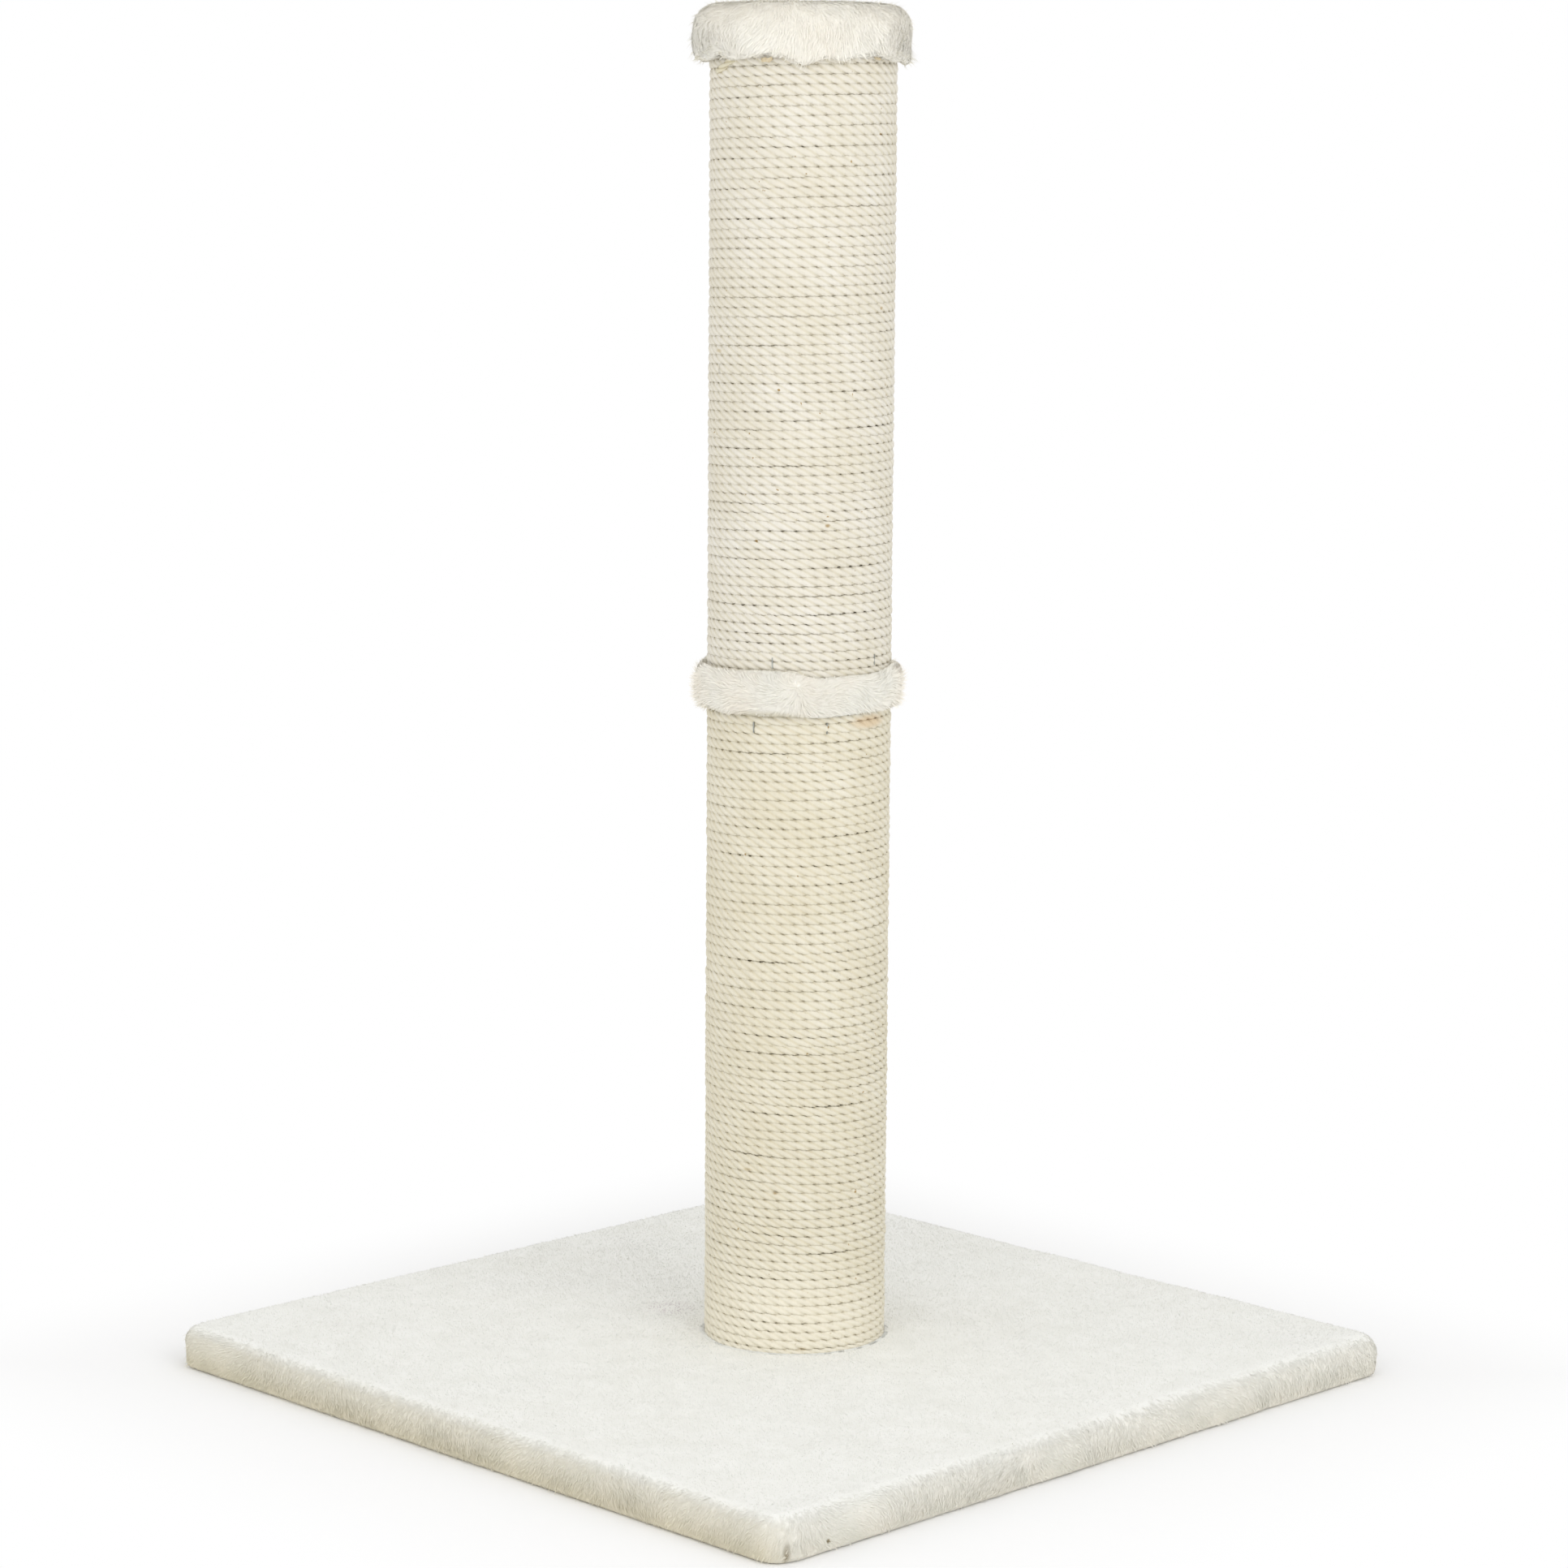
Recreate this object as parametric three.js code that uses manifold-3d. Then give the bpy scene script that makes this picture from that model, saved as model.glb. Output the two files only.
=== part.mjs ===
// Cat scratching post: a plush-covered base board, a post of two rope-wound tubes,
// a plush band over their joint and a plush cap. Millimetres, +Z up, with the origin
// on the floor under the middle of the base.

import * as THREE from "three";
import { mergeVertices } from "three/addons/utils/BufferGeometryUtils.js";
import Module from "manifold-3d";

const wasm = await Module();
wasm.setup();

// ---------------------------------------------------------------------------
// Driving dimensions
// ---------------------------------------------------------------------------

const seatGap = 0.3; // air between two pieces that touch
const overcut = 1; // how far a cutting shape runs past the face that it opens

// Base board
const boardSide = 489;
const boardThickness = 18;
const boardCornerRadius = 10;
const counterboreDiameter = 30;
const counterboreDepth = 9;
const boltHoleDiameter = 9;

// Plush over the base: it wraps over the board's edges and is stapled underneath
const topPile = 4.4;
const sidePile = 5.2;
const footPile = 1.6; // squashed under the post
const hemThickness = 2;
const hemWidth = 38;
const plushFootRadius = 4;
const plushRimRadius = 11; // the plush rounds softly over the board's sharp upper edge

// Staples that hold the hem under the board
const hemStaplesPerSide = 4;
const hemStapleCornerMargin = 76.5; // from the board's corner along to the nearest staple
const hemStapleInset = 24; // from the board's edge to the crown
const hemStapleCrown = 10;
const hemStapleLeg = 8;
const hemStapleSink = 0.4; // from the floor up to the crown

// Post and its tubes
const postOffsetX = 5.4; // the bolt hole sits this far off the board's centre
const postOffsetY = 5.4;
const tubeLength = 375;
const tubeOuterDiameter = 94;
const tubeWall = 4;
const plugThickness = 18;

// Rope winding
const ropeThickness = 5.7; // outwards from the tube
const ropePitch = 5.2; // from one turn to the next, squeezed tight
const ropeGrooveDepth = 2.2;
const stepsPerTurn = 13;

// Plush band over the joint
const bandHeight = 29;
const bandPile = 5.7;
const bandRise = 2; // from the joint up to the band's middle
const bandEdgeRadius = 2.5;

// Plush cap
const capDepth = 35;
const capTopPile = 6.4;
const capSidePile = 7;
const capShoulderRadius = 9;
const capLipRadius = 2.5;

// Machine screws, washer and tee nuts
const screwDiameter = 8;
const screwHoleClearance = 0.5; // all round, in a plug
const boltLength = 40;
const boltHeadDiameter = 16;
const boltHeadHeight = 5;
const hexSocketWidth = 5;
const hexSocketDepth = 3;
const washerDiameter = 24;
const washerThickness = 2;
const studLength = 50;
const teeFlangeDiameter = 24;
const teeFlangeThickness = 1.5;
const teeBarrelDiameter = 10.5;
const teeBarrelLength = 11;
const teeProngs = 4;
const teeProngWidth = 3;
const teeProngThickness = 1;
const teeProngLength = 6;
const teeProngCircle = 18; // diameter on which the prongs stand

// Brads that hold a plug in its tube
const bradsPerPlug = 2;
const bradLength = 16;
const bradDiameter = 1.6;
const bradHeadDiameter = 3.6;
const bradHeadThickness = 0.8;

// Staples that hold the ends of the rope
const ropeStapleCrown = 6;
const ropeStapleLeg = 8;
const ropeStapleSink = 0.4; // from the rope's crest in to the crown
const stapleWire = 0.9;
const stapleWireThickness = 0.7;

// Where the rope staples stand round the post, in degrees from +X
const staplesUnderBand = [-73, -27, 80, 190];
const staplesOverBand = [-61, 9, 100, 200];
const staplesAtFoot = [135];
const staplesUnderCap = [30];

// Facets
const largeRoundSides = 32;
const softRoundSides = 36;
const smallRoundSides = 12;
const bradSides = 6;
const cornerSteps = 5;
const edgeSteps = 3;
const rimSteps = 5;
const shoulderSteps = 4;

// ---------------------------------------------------------------------------
// Places that follow from the driving dimensions
// ---------------------------------------------------------------------------

const boardBottomZ = hemThickness + seatGap;
const boardTopZ = boardBottomZ + boardThickness;
const plushInsideZ = boardTopZ + seatGap;
const baseTopZ = plushInsideZ + topPile;
const postFootZ = plushInsideZ + footPile + seatGap;

const tubeRadius = tubeOuterDiameter / 2;
const tubeBoreRadius = tubeRadius - tubeWall;
const ropeBoreRadius = tubeRadius + seatGap;
const ropeRadius = ropeBoreRadius + ropeThickness;
const plugRadius = tubeBoreRadius - seatGap;
const wrapRadius = flatsAt(ropeRadius, softRoundSides) + seatGap;

// In the post's own frame, whose z is 0 at the foot of the lower tube
const jointZ = tubeLength;
const upperTubeZ = jointZ + seatGap;
const postTopZ = upperTubeZ + tubeLength;
const bandMiddleZ = jointZ + bandRise;
const bandBottomZ = bandMiddleZ - bandHeight / 2;
const bandTopZ = bandMiddleZ + bandHeight / 2;
const capInsideZ = postTopZ + seatGap;
const capTopZ = capInsideZ + capTopPile;
const capLipZ = capTopZ - capDepth;
const stapleReach = seatGap + (ropeStapleCrown + stapleWire) / 2;

const washerTopZ = boardBottomZ + counterboreDepth - seatGap;
const boltSeatZ = washerTopZ - washerThickness - seatGap;

const quarterTurn = Math.PI / 2;

/** Radius of a regular outline whose flats, not its corners, touch a circle. */
function flatsAt(radius, sides) {
  return radius / Math.cos(Math.PI / sides);
}

// ---------------------------------------------------------------------------
// Materials
// ---------------------------------------------------------------------------

const finishes = {
  plush: { color: 0xf1f0ec, roughness: 0.95, metalness: 0 },
  rope: { color: 0xe6dfc6, roughness: 0.9, metalness: 0 },
  board: { color: 0xb08d62, roughness: 0.85, metalness: 0 },
  cardboard: { color: 0x9c7a54, roughness: 0.9, metalness: 0 },
  pine: { color: 0xd8b98a, roughness: 0.75, metalness: 0 },
  zinc: { color: 0xb9bcc0, roughness: 0.35, metalness: 1 },
};

/** A named mesh with its own material. */
function piece(name, geometry, finish) {
  const mesh = new THREE.Mesh(geometry, new THREE.MeshStandardMaterial(finishes[finish]));
  mesh.name = name;
  return mesh;
}

// ---------------------------------------------------------------------------
// Solids: joining and cutting
// ---------------------------------------------------------------------------

/** A closed geometry as a solid that can be joined and cut. */
function toSolid(geometry) {
  const bare = geometry.clone();
  bare.deleteAttribute("normal");
  bare.deleteAttribute("uv");
  const merged = mergeVertices(bare);
  const corners = merged.index.array;
  const triangles = [];
  for (let i = 0; i < corners.length; i += 3) {
    const [a, b, c] = [corners[i], corners[i + 1], corners[i + 2]];
    if (a !== b && b !== c && c !== a) {
      triangles.push(a, b, c);
    }
  }
  return new wasm.Manifold(
    new wasm.Mesh({
      numProp: 3,
      vertProperties: new Float32Array(merged.attributes.position.array),
      triVerts: new Uint32Array(triangles),
    }),
  );
}

/** A solid as a geometry again. */
function toGeometry(solid) {
  const mesh = solid.getMesh();
  const geometry = new THREE.BufferGeometry();
  geometry.setAttribute("position", new THREE.BufferAttribute(mesh.vertProperties, mesh.numProp));
  geometry.setIndex(new THREE.BufferAttribute(mesh.triVerts, 1));
  geometry.computeVertexNormals();
  return geometry;
}

/** The geometry with every cutter taken out of it. */
function cutAway(geometry, cutters) {
  let solid = toSolid(geometry);
  for (const cutter of cutters) {
    solid = solid.subtract(toSolid(cutter));
  }
  return toGeometry(solid);
}

/** A copy of a geometry, turned about Z and then moved. */
function placed(geometry, { x = 0, y = 0, z = 0, turn = 0 }) {
  return geometry.clone().rotateZ(turn).translate(x, y, z);
}

/** Sets a mesh where placed() puts a copy of its geometry. */
function stand(mesh, { x = 0, y = 0, z = 0, turn = 0 }) {
  mesh.position.set(x, y, z);
  mesh.rotation.z = turn;
  return mesh;
}

// ---------------------------------------------------------------------------
// Shapes
// ---------------------------------------------------------------------------

/** A profile of [radius, z] points turned about Z; the points go up its outside. */
function turned(profile, sides) {
  const points = profile.map(([radius, z]) => new THREE.Vector2(radius, z));
  return new THREE.LatheGeometry(points, sides).rotateX(quarterTurn);
}

/** A solid disc or rod from one height to another. */
function disc(radius, bottomZ, topZ, sides) {
  return turned([[0, bottomZ], [radius, bottomZ], [radius, topZ], [0, topZ]], sides);
}

/** A ring with a square section. */
function ring(boreRadius, radius, bottomZ, topZ, sides) {
  const profile = [[boreRadius, bottomZ], [radius, bottomZ], [radius, topZ], [boreRadius, topZ]];
  profile.push(profile[0]);
  return turned(profile, sides);
}

/** The points of a rounded edge, from one angle to another about its centre. */
function edgeArc(centreRadius, centreZ, radius, fromAngle, toAngle, steps) {
  const points = [];
  for (let i = 0; i <= steps; i += 1) {
    const angle = fromAngle + ((toAngle - fromAngle) * i) / steps;
    points.push([centreRadius + radius * Math.cos(angle), centreZ + radius * Math.sin(angle)]);
  }
  return points;
}

/** A square outline with round corners, about the origin. */
function roundedSquare(side, cornerRadius) {
  const half = side / 2;
  const straight = half - cornerRadius;
  const outline = new THREE.Shape();
  outline.moveTo(-straight, -half);
  outline.lineTo(straight, -half);
  outline.absarc(straight, -straight, cornerRadius, -quarterTurn, 0);
  outline.absarc(straight, straight, cornerRadius, 0, quarterTurn);
  outline.absarc(-straight, straight, cornerRadius, quarterTurn, 2 * quarterTurn);
  outline.absarc(-straight, -straight, cornerRadius, 2 * quarterTurn, 3 * quarterTurn);
  return outline;
}

/** A square slab with round corners. */
function slab(side, cornerRadius, bottomZ, topZ) {
  const geometry = new THREE.ExtrudeGeometry(roundedSquare(side, cornerRadius), {
    depth: topZ - bottomZ,
    curveSegments: cornerSteps,
    bevelEnabled: false,
  });
  return geometry.translate(0, 0, bottomZ);
}

/** Points round a level square with round corners, anticlockwise from its +X side. */
function squareRing(reach, cornerRadius, z) {
  const straight = reach - cornerRadius;
  const points = [];
  for (const [x, y, start] of [[1, 1, 0], [-1, 1, 1], [-1, -1, 2], [1, -1, 3]]) {
    for (let i = 0; i <= cornerSteps; i += 1) {
      const angle = quarterTurn * (start + i / cornerSteps);
      const across = x * straight + cornerRadius * Math.cos(angle);
      const along = y * straight + cornerRadius * Math.sin(angle);
      points.push([across, along, z]);
    }
  }
  return points;
}

/** A square slab with round corners, a round foot and a rounder rim. */
function softSlab(side, cornerRadius, bottomZ, topZ, footRadius, rimRadius) {
  const half = side / 2;
  const profile = [
    ...edgeArc(half - footRadius, bottomZ + footRadius, footRadius, -quarterTurn, 0, edgeSteps),
    ...edgeArc(half - rimRadius, topZ - rimRadius, rimRadius, 0, quarterTurn, rimSteps),
  ];
  const rings = profile.map(([reach, z]) => squareRing(reach, cornerRadius - (half - reach), z));
  const points = [...rings.flat(), [0, 0, bottomZ], [0, 0, topZ]];
  const count = rings[0].length;
  const lastRing = (rings.length - 1) * count;
  const underside = rings.length * count;
  const triangles = [];
  for (let i = 0; i < count; i += 1) {
    const next = (i + 1) % count;
    triangles.push(underside, next, i, underside + 1, lastRing + i, lastRing + next);
    for (let ring = 0; ring < lastRing; ring += count) {
      triangles.push(ring + i, ring + next, ring + count + next);
      triangles.push(ring + i, ring + count + next, ring + count + i);
    }
  }
  const geometry = new THREE.BufferGeometry();
  geometry.setAttribute("position", new THREE.Float32BufferAttribute(points.flat(), 3));
  geometry.setIndex(triangles);
  return geometry;
}

// ---------------------------------------------------------------------------
// Fasteners. Each is made a little larger, by its grow, to cut its own seat
// ---------------------------------------------------------------------------

/** A staple: its crown lies along X at z = 0 and its legs point up. */
function staple(crown, leg, grow = 0) {
  const outer = crown / 2 + grow;
  const inner = crown / 2 - stapleWire - grow;
  const outline = new THREE.Shape();
  outline.moveTo(-outer, -grow);
  outline.lineTo(outer, -grow);
  outline.lineTo(outer, leg + grow);
  outline.lineTo(inner, leg + grow);
  outline.lineTo(inner, stapleWire + grow);
  outline.lineTo(-inner, stapleWire + grow);
  outline.lineTo(-inner, leg + grow);
  outline.lineTo(-outer, leg + grow);
  const thickness = stapleWireThickness + 2 * grow;
  const geometry = new THREE.ExtrudeGeometry(outline, { depth: thickness, bevelEnabled: false });
  return geometry.translate(0, 0, -thickness / 2).rotateX(quarterTurn);
}

/** A staple in the rope: its crown stands upright and its legs point at the axis. */
function ropeStaple(grow = 0) {
  const standing = staple(ropeStapleCrown, ropeStapleLeg, grow).rotateY(-quarterTurn);
  return standing.translate(ropeRadius - ropeStapleSink, 0, 0);
}

/** A brad through the tube's wall into the plug: its head sits flush in the wall. */
function brad(grow = 0) {
  const head = bradHeadDiameter / 2 + grow;
  const shank = bradDiameter / 2 + grow;
  const profile = [
    [0, -grow],
    [head, -grow],
    [head, bradHeadThickness + grow],
    [shank, bradHeadThickness + grow],
    [shank, bradLength + grow],
    [0, bradLength + grow],
  ];
  const pointingIn = turned(profile, bradSides).rotateY(-quarterTurn);
  return pointingIn.translate(tubeRadius - seatGap, 0, 0);
}

/** A tee nut: its flange stands on z = 0, and its barrel and prongs point down. */
function teeNut(grow = 0) {
  const flange = teeFlangeDiameter / 2 + grow;
  const barrel = teeBarrelDiameter / 2 + grow;
  const bore = flatsAt(screwDiameter / 2, smallRoundSides) + seatGap - grow;
  const profile = [
    [bore, -teeBarrelLength - grow],
    [barrel, -teeBarrelLength - grow],
    [barrel, -grow],
    [flange, -grow],
    [flange, teeFlangeThickness + grow],
    [bore, teeFlangeThickness + grow],
  ];
  profile.push(profile[0]);
  let solid = toSolid(turned(profile, smallRoundSides));
  const height = teeProngLength + teeFlangeThickness / 2 + grow;
  const width = teeProngWidth + 2 * grow;
  const thickness = teeProngThickness + 2 * grow;
  for (let i = 0; i < teeProngs; i += 1) {
    const prong = new THREE.BoxGeometry(thickness, width, height);
    prong.translate(teeProngCircle / 2, 0, teeFlangeThickness / 2 - height / 2);
    prong.rotateZ(((i + 1 / 2) * 2 * Math.PI) / teeProngs);
    solid = solid.add(toSolid(prong));
  }
  return toGeometry(solid);
}

/** The base bolt: its head hangs under z = 0 and its shank stands above it. */
function baseBolt() {
  const head = boltHeadDiameter / 2;
  const shank = screwDiameter / 2;
  const profile = [
    [0, -boltHeadHeight],
    [head, -boltHeadHeight],
    [head, 0],
    [shank, 0],
    [shank, boltLength],
    [0, boltLength],
  ];
  const socketRadius = flatsAt(hexSocketWidth / 2, 6);
  const socketTop = hexSocketDepth - boltHeadHeight;
  const socket = disc(socketRadius, -boltHeadHeight - overcut, socketTop, 6);
  return cutAway(turned(profile, smallRoundSides), [socket]);
}

// ---------------------------------------------------------------------------
// Base
// ---------------------------------------------------------------------------

/** Where each hem staple goes, side by side round the board. */
function hemStaplePlaces() {
  const places = [];
  const distance = boardSide / 2 - hemStapleInset;
  const first = hemStapleCornerMargin - boardSide / 2;
  const spacing = (-2 * first) / (hemStaplesPerSide - 1);
  for (let side = 0; side < 4; side += 1) {
    const turn = side * quarterTurn;
    for (let i = 0; i < hemStaplesPerSide; i += 1) {
      const along = first + i * spacing;
      places.push({
        x: along * Math.cos(turn) + distance * Math.sin(turn),
        y: along * Math.sin(turn) - distance * Math.cos(turn),
        z: hemStapleSink,
        turn,
      });
    }
  }
  return places;
}

/** The shapes that cut every hem staple's seat. */
function hemStapleSeats() {
  const seat = staple(hemStapleCrown, hemStapleLeg, seatGap);
  return hemStaplePlaces().map((place) => placed(seat, place));
}

/** The board, counterbored from below for the bolt and its washer. */
function baseBoard() {
  const counterbore = disc(
    counterboreDiameter / 2,
    boardBottomZ - overcut,
    boardBottomZ + counterboreDepth,
    largeRoundSides,
  );
  const hole = disc(boltHoleDiameter / 2, boardBottomZ - overcut, boardTopZ + overcut, smallRoundSides);
  const atPost = { x: postOffsetX, y: postOffsetY };
  const body = slab(boardSide, boardCornerRadius, boardBottomZ, boardTopZ);
  return cutAway(body, [placed(counterbore, atPost), placed(hole, atPost), ...hemStapleSeats()]);
}

/** The plush: over the board, round its edges and under it as a hem. */
function basePlush() {
  const outside = softSlab(
    boardSide + 2 * (seatGap + sidePile),
    boardCornerRadius + seatGap + sidePile,
    0,
    baseTopZ,
    plushFootRadius,
    plushRimRadius,
  );
  const room = slab(boardSide + 2 * seatGap, boardCornerRadius + seatGap, hemThickness, plushInsideZ);
  const opening = slab(boardSide - 2 * hemWidth, boardCornerRadius, -overcut, hemThickness + overcut);
  const atPost = { x: postOffsetX, y: postOffsetY };
  const footRadius = flatsAt(ropeRadius, softRoundSides) + seatGap;
  const foot = disc(footRadius, plushInsideZ + footPile, baseTopZ + overcut, softRoundSides);
  const hole = disc(boltHoleDiameter / 2, boardTopZ, baseTopZ, smallRoundSides);
  const cutters = [room, opening, placed(foot, atPost), placed(hole, atPost), ...hemStapleSeats()];
  return cutAway(outside, cutters);
}

/** The whole base, with the bolt that holds the post. */
function base() {
  const group = new THREE.Group();
  group.add(piece("base_board", baseBoard(), "board"));
  group.add(piece("base_plush", basePlush(), "plush"));
  hemStaplePlaces().forEach((place, i) => {
    const name = `hem_staple_${i + 1}`;
    group.add(stand(piece(name, staple(hemStapleCrown, hemStapleLeg), "zinc"), place));
  });
  const boreRadius = flatsAt(screwDiameter / 2, smallRoundSides) + seatGap;
  const washer = ring(boreRadius, washerDiameter / 2, 0, washerThickness, smallRoundSides);
  const washerPlace = { x: postOffsetX, y: postOffsetY, z: washerTopZ - washerThickness };
  group.add(stand(piece("base_washer", washer, "zinc"), washerPlace));
  const boltPlace = { x: postOffsetX, y: postOffsetY, z: boltSeatZ };
  group.add(stand(piece("base_bolt", baseBolt(), "zinc"), boltPlace));
  return group;
}

// ---------------------------------------------------------------------------
// Rope winding
// ---------------------------------------------------------------------------

/**
 * The outside of a wound rope as one unbroken ridge that climbs a pitch a turn. A line of
 * crest points and a line of groove points follow the same helix, half a pitch apart.
 */
function windingRidge(bottomZ, topZ) {
  const turns = Math.ceil((topZ - bottomZ) / ropePitch) + 3;
  const crestCount = turns * stepsPerTurn + 1;
  const grooveCount = crestCount - stepsPerTurn;
  const startZ = bottomZ - 2 * ropePitch;
  const points = [];
  const addHelix = (count, radius, liftZ) => {
    for (let i = 0; i < count; i += 1) {
      const angle = (2 * Math.PI * i) / stepsPerTurn;
      const z = startZ + liftZ + (ropePitch * i) / stepsPerTurn;
      points.push(radius * Math.cos(angle), radius * Math.sin(angle), z);
    }
  };
  addHelix(crestCount, ropeRadius, 0);
  addHelix(grooveCount, ropeRadius - ropeGrooveDepth, ropePitch / 2);
  const bottomPoint = crestCount + grooveCount;
  const topPoint = bottomPoint + 1;
  points.push(0, 0, startZ, 0, 0, startZ + turns * ropePitch);

  const crest = (i) => i;
  const groove = (i) => crestCount + i;
  const faces = [];
  for (let i = 0; i + 1 < grooveCount; i += 1) {
    faces.push(crest(i), crest(i + 1), groove(i + 1), crest(i), groove(i + 1), groove(i));
    const above = i + stepsPerTurn;
    faces.push(groove(i), groove(i + 1), crest(above + 1), groove(i), crest(above + 1), crest(above));
  }
  for (let i = 0; i < stepsPerTurn; i += 1) {
    faces.push(bottomPoint, crest(i + 1), crest(i));
    const last = crestCount - 1 - stepsPerTurn + i;
    faces.push(topPoint, crest(last), crest(last + 1));
  }
  faces.push(bottomPoint, groove(0), crest(stepsPerTurn), bottomPoint, crest(0), groove(0));
  const end = grooveCount - 1;
  faces.push(topPoint, crest(crestCount - 1), groove(end), topPoint, groove(end), crest(end));

  const geometry = new THREE.BufferGeometry();
  geometry.setAttribute("position", new THREE.Float32BufferAttribute(points, 3));
  geometry.setIndex(faces);
  return geometry;
}

/** The least way from a point of a ridge's crest to the crest a turn on, measured on its points. */
function leastTurnSpacing(ridge) {
  const points = ridge.attributes.position;
  const onCrest = (point) => Math.hypot(point.x, point.y) > ropeRadius - ropeGrooveDepth / 2;
  let least = Infinity;
  for (let i = 0; i + stepsPerTurn < points.count; i += 1) {
    const here = new THREE.Vector3().fromBufferAttribute(points, i);
    const turnOn = new THREE.Vector3().fromBufferAttribute(points, i + stepsPerTurn);
    if (onCrest(here) && onCrest(turnOn)) {
      least = Math.min(least, here.distanceTo(turnOn));
    }
  }
  return least;
}

/** A section's rope: the ridge, cut square at both ends and bored for the tube. */
function ropeWinding(name, staplePlaces) {
  const bottomZ = seatGap;
  const topZ = tubeLength - seatGap;
  const sleeve = ring(ropeBoreRadius, ropeRadius + overcut, bottomZ, topZ, largeRoundSides);
  const ridge = windingRidge(bottomZ, topZ);
  const turns = ((topZ - bottomZ) / ropePitch).toFixed(1);
  const spacing = leastTurnSpacing(ridge).toFixed(2);
  console.log(`${name}: ${turns} turns, with their crests at least ${spacing} mm apart`);
  let solid = toSolid(ridge).intersect(toSolid(sleeve));
  for (const place of staplePlaces) {
    solid = solid.subtract(toSolid(placed(ropeStaple(seatGap), place)));
  }
  return toGeometry(solid);
}

// ---------------------------------------------------------------------------
// A wound section: tube, rope, end plugs, tee nuts and brads
// ---------------------------------------------------------------------------

/** Where a plug's brads stand round the tube. */
function bradPlaces(middleZ) {
  const places = [];
  for (let i = 0; i < bradsPerPlug; i += 1) {
    places.push({ z: middleZ, turn: (2 * Math.PI * i) / bradsPerPlug });
  }
  return places;
}

/** An end plug whose inner face is up at z = 0, with room for its tee nut if it has one. */
function plug(hasTeeNut) {
  if (!hasTeeNut) {
    return disc(plugRadius, -plugThickness, 0, largeRoundSides);
  }
  const hole = screwDiameter / 2 + screwHoleClearance;
  const body = ring(hole, plugRadius, -plugThickness, 0, largeRoundSides);
  return cutAway(body, [placed(teeNut(seatGap), { z: seatGap })]);
}

/**
 * One section of the post, from z = 0 to the tube's length. Each end in plugEnds is a plug:
 * isTop says which end it closes and hasTeeNut whether a screw goes into it.
 */
function woundSection(prefix, plugEnds, staplePlaces) {
  const group = new THREE.Group();
  const tubeCutters = staplePlaces.map((place) => placed(ropeStaple(seatGap), place));
  for (const { end, isTop, hasTeeNut } of plugEnds) {
    const middleZ = isTop ? tubeLength - plugThickness / 2 : plugThickness / 2;
    const innerZ = isTop ? tubeLength - plugThickness : plugThickness;
    const places = bradPlaces(middleZ);
    const seats = places.map((place) => placed(brad(seatGap), place));
    tubeCutters.push(...seats);
    const upright = plug(hasTeeNut);
    const facing = isTop ? upright.rotateX(Math.PI) : upright;
    const body = cutAway(facing.translate(0, 0, innerZ), seats);
    group.add(piece(`${prefix}_${end}_plug`, body, "pine"));
    places.forEach((place, i) => {
      group.add(stand(piece(`${prefix}_${end}_brad_${i + 1}`, brad(), "zinc"), place));
    });
    if (hasTeeNut) {
      const nut = piece(`${prefix}_${end}_tee_nut`, teeNut(), "zinc");
      nut.rotation.x = isTop ? Math.PI : 0;
      nut.position.z = isTop ? innerZ - seatGap : innerZ + seatGap;
      group.add(nut);
    }
  }
  const tube = ring(tubeBoreRadius, tubeRadius, 0, tubeLength, largeRoundSides);
  group.add(piece(`${prefix}_tube`, cutAway(tube, tubeCutters), "cardboard"));
  const ropeName = `${prefix}_rope`;
  group.add(piece(ropeName, ropeWinding(ropeName, staplePlaces), "rope"));
  staplePlaces.forEach((place, i) => {
    group.add(stand(piece(`${prefix}_rope_staple_${i + 1}`, ropeStaple(), "zinc"), place));
  });
  return group;
}

/** Places for rope staples at one height, from their angles in degrees. */
function staplesAt(z, angles) {
  return angles.map((angle) => ({ z, turn: THREE.MathUtils.degToRad(angle) }));
}

// ---------------------------------------------------------------------------
// Plush band and cap
// ---------------------------------------------------------------------------

/** The band: a ring with soft edges over the joint. */
function jointBand() {
  const outside = wrapRadius + bandPile - bandEdgeRadius;
  const low = bandBottomZ + bandEdgeRadius;
  const high = bandTopZ - bandEdgeRadius;
  const profile = [
    [wrapRadius, bandBottomZ],
    ...edgeArc(outside, low, bandEdgeRadius, -quarterTurn, 0, edgeSteps),
    ...edgeArc(outside, high, bandEdgeRadius, 0, quarterTurn, edgeSteps),
    [wrapRadius, bandTopZ],
  ];
  profile.push(profile[0]);
  return turned(profile, softRoundSides);
}

/** The cap: plush drawn over the post's end, with a soft shoulder and a rounded lip. */
function plushCap() {
  const outside = wrapRadius + capSidePile;
  const profile = [
    [0, capInsideZ],
    [wrapRadius, capInsideZ],
    [wrapRadius, capLipZ],
    ...edgeArc(outside - capLipRadius, capLipZ + capLipRadius, capLipRadius, -quarterTurn, 0, edgeSteps),
    ...edgeArc(
      outside - capShoulderRadius,
      capTopZ - capShoulderRadius,
      capShoulderRadius,
      0,
      quarterTurn,
      shoulderSteps,
    ),
    [0, capTopZ],
  ];
  return turned(profile, softRoundSides);
}

// ---------------------------------------------------------------------------
// Post
// ---------------------------------------------------------------------------

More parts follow.
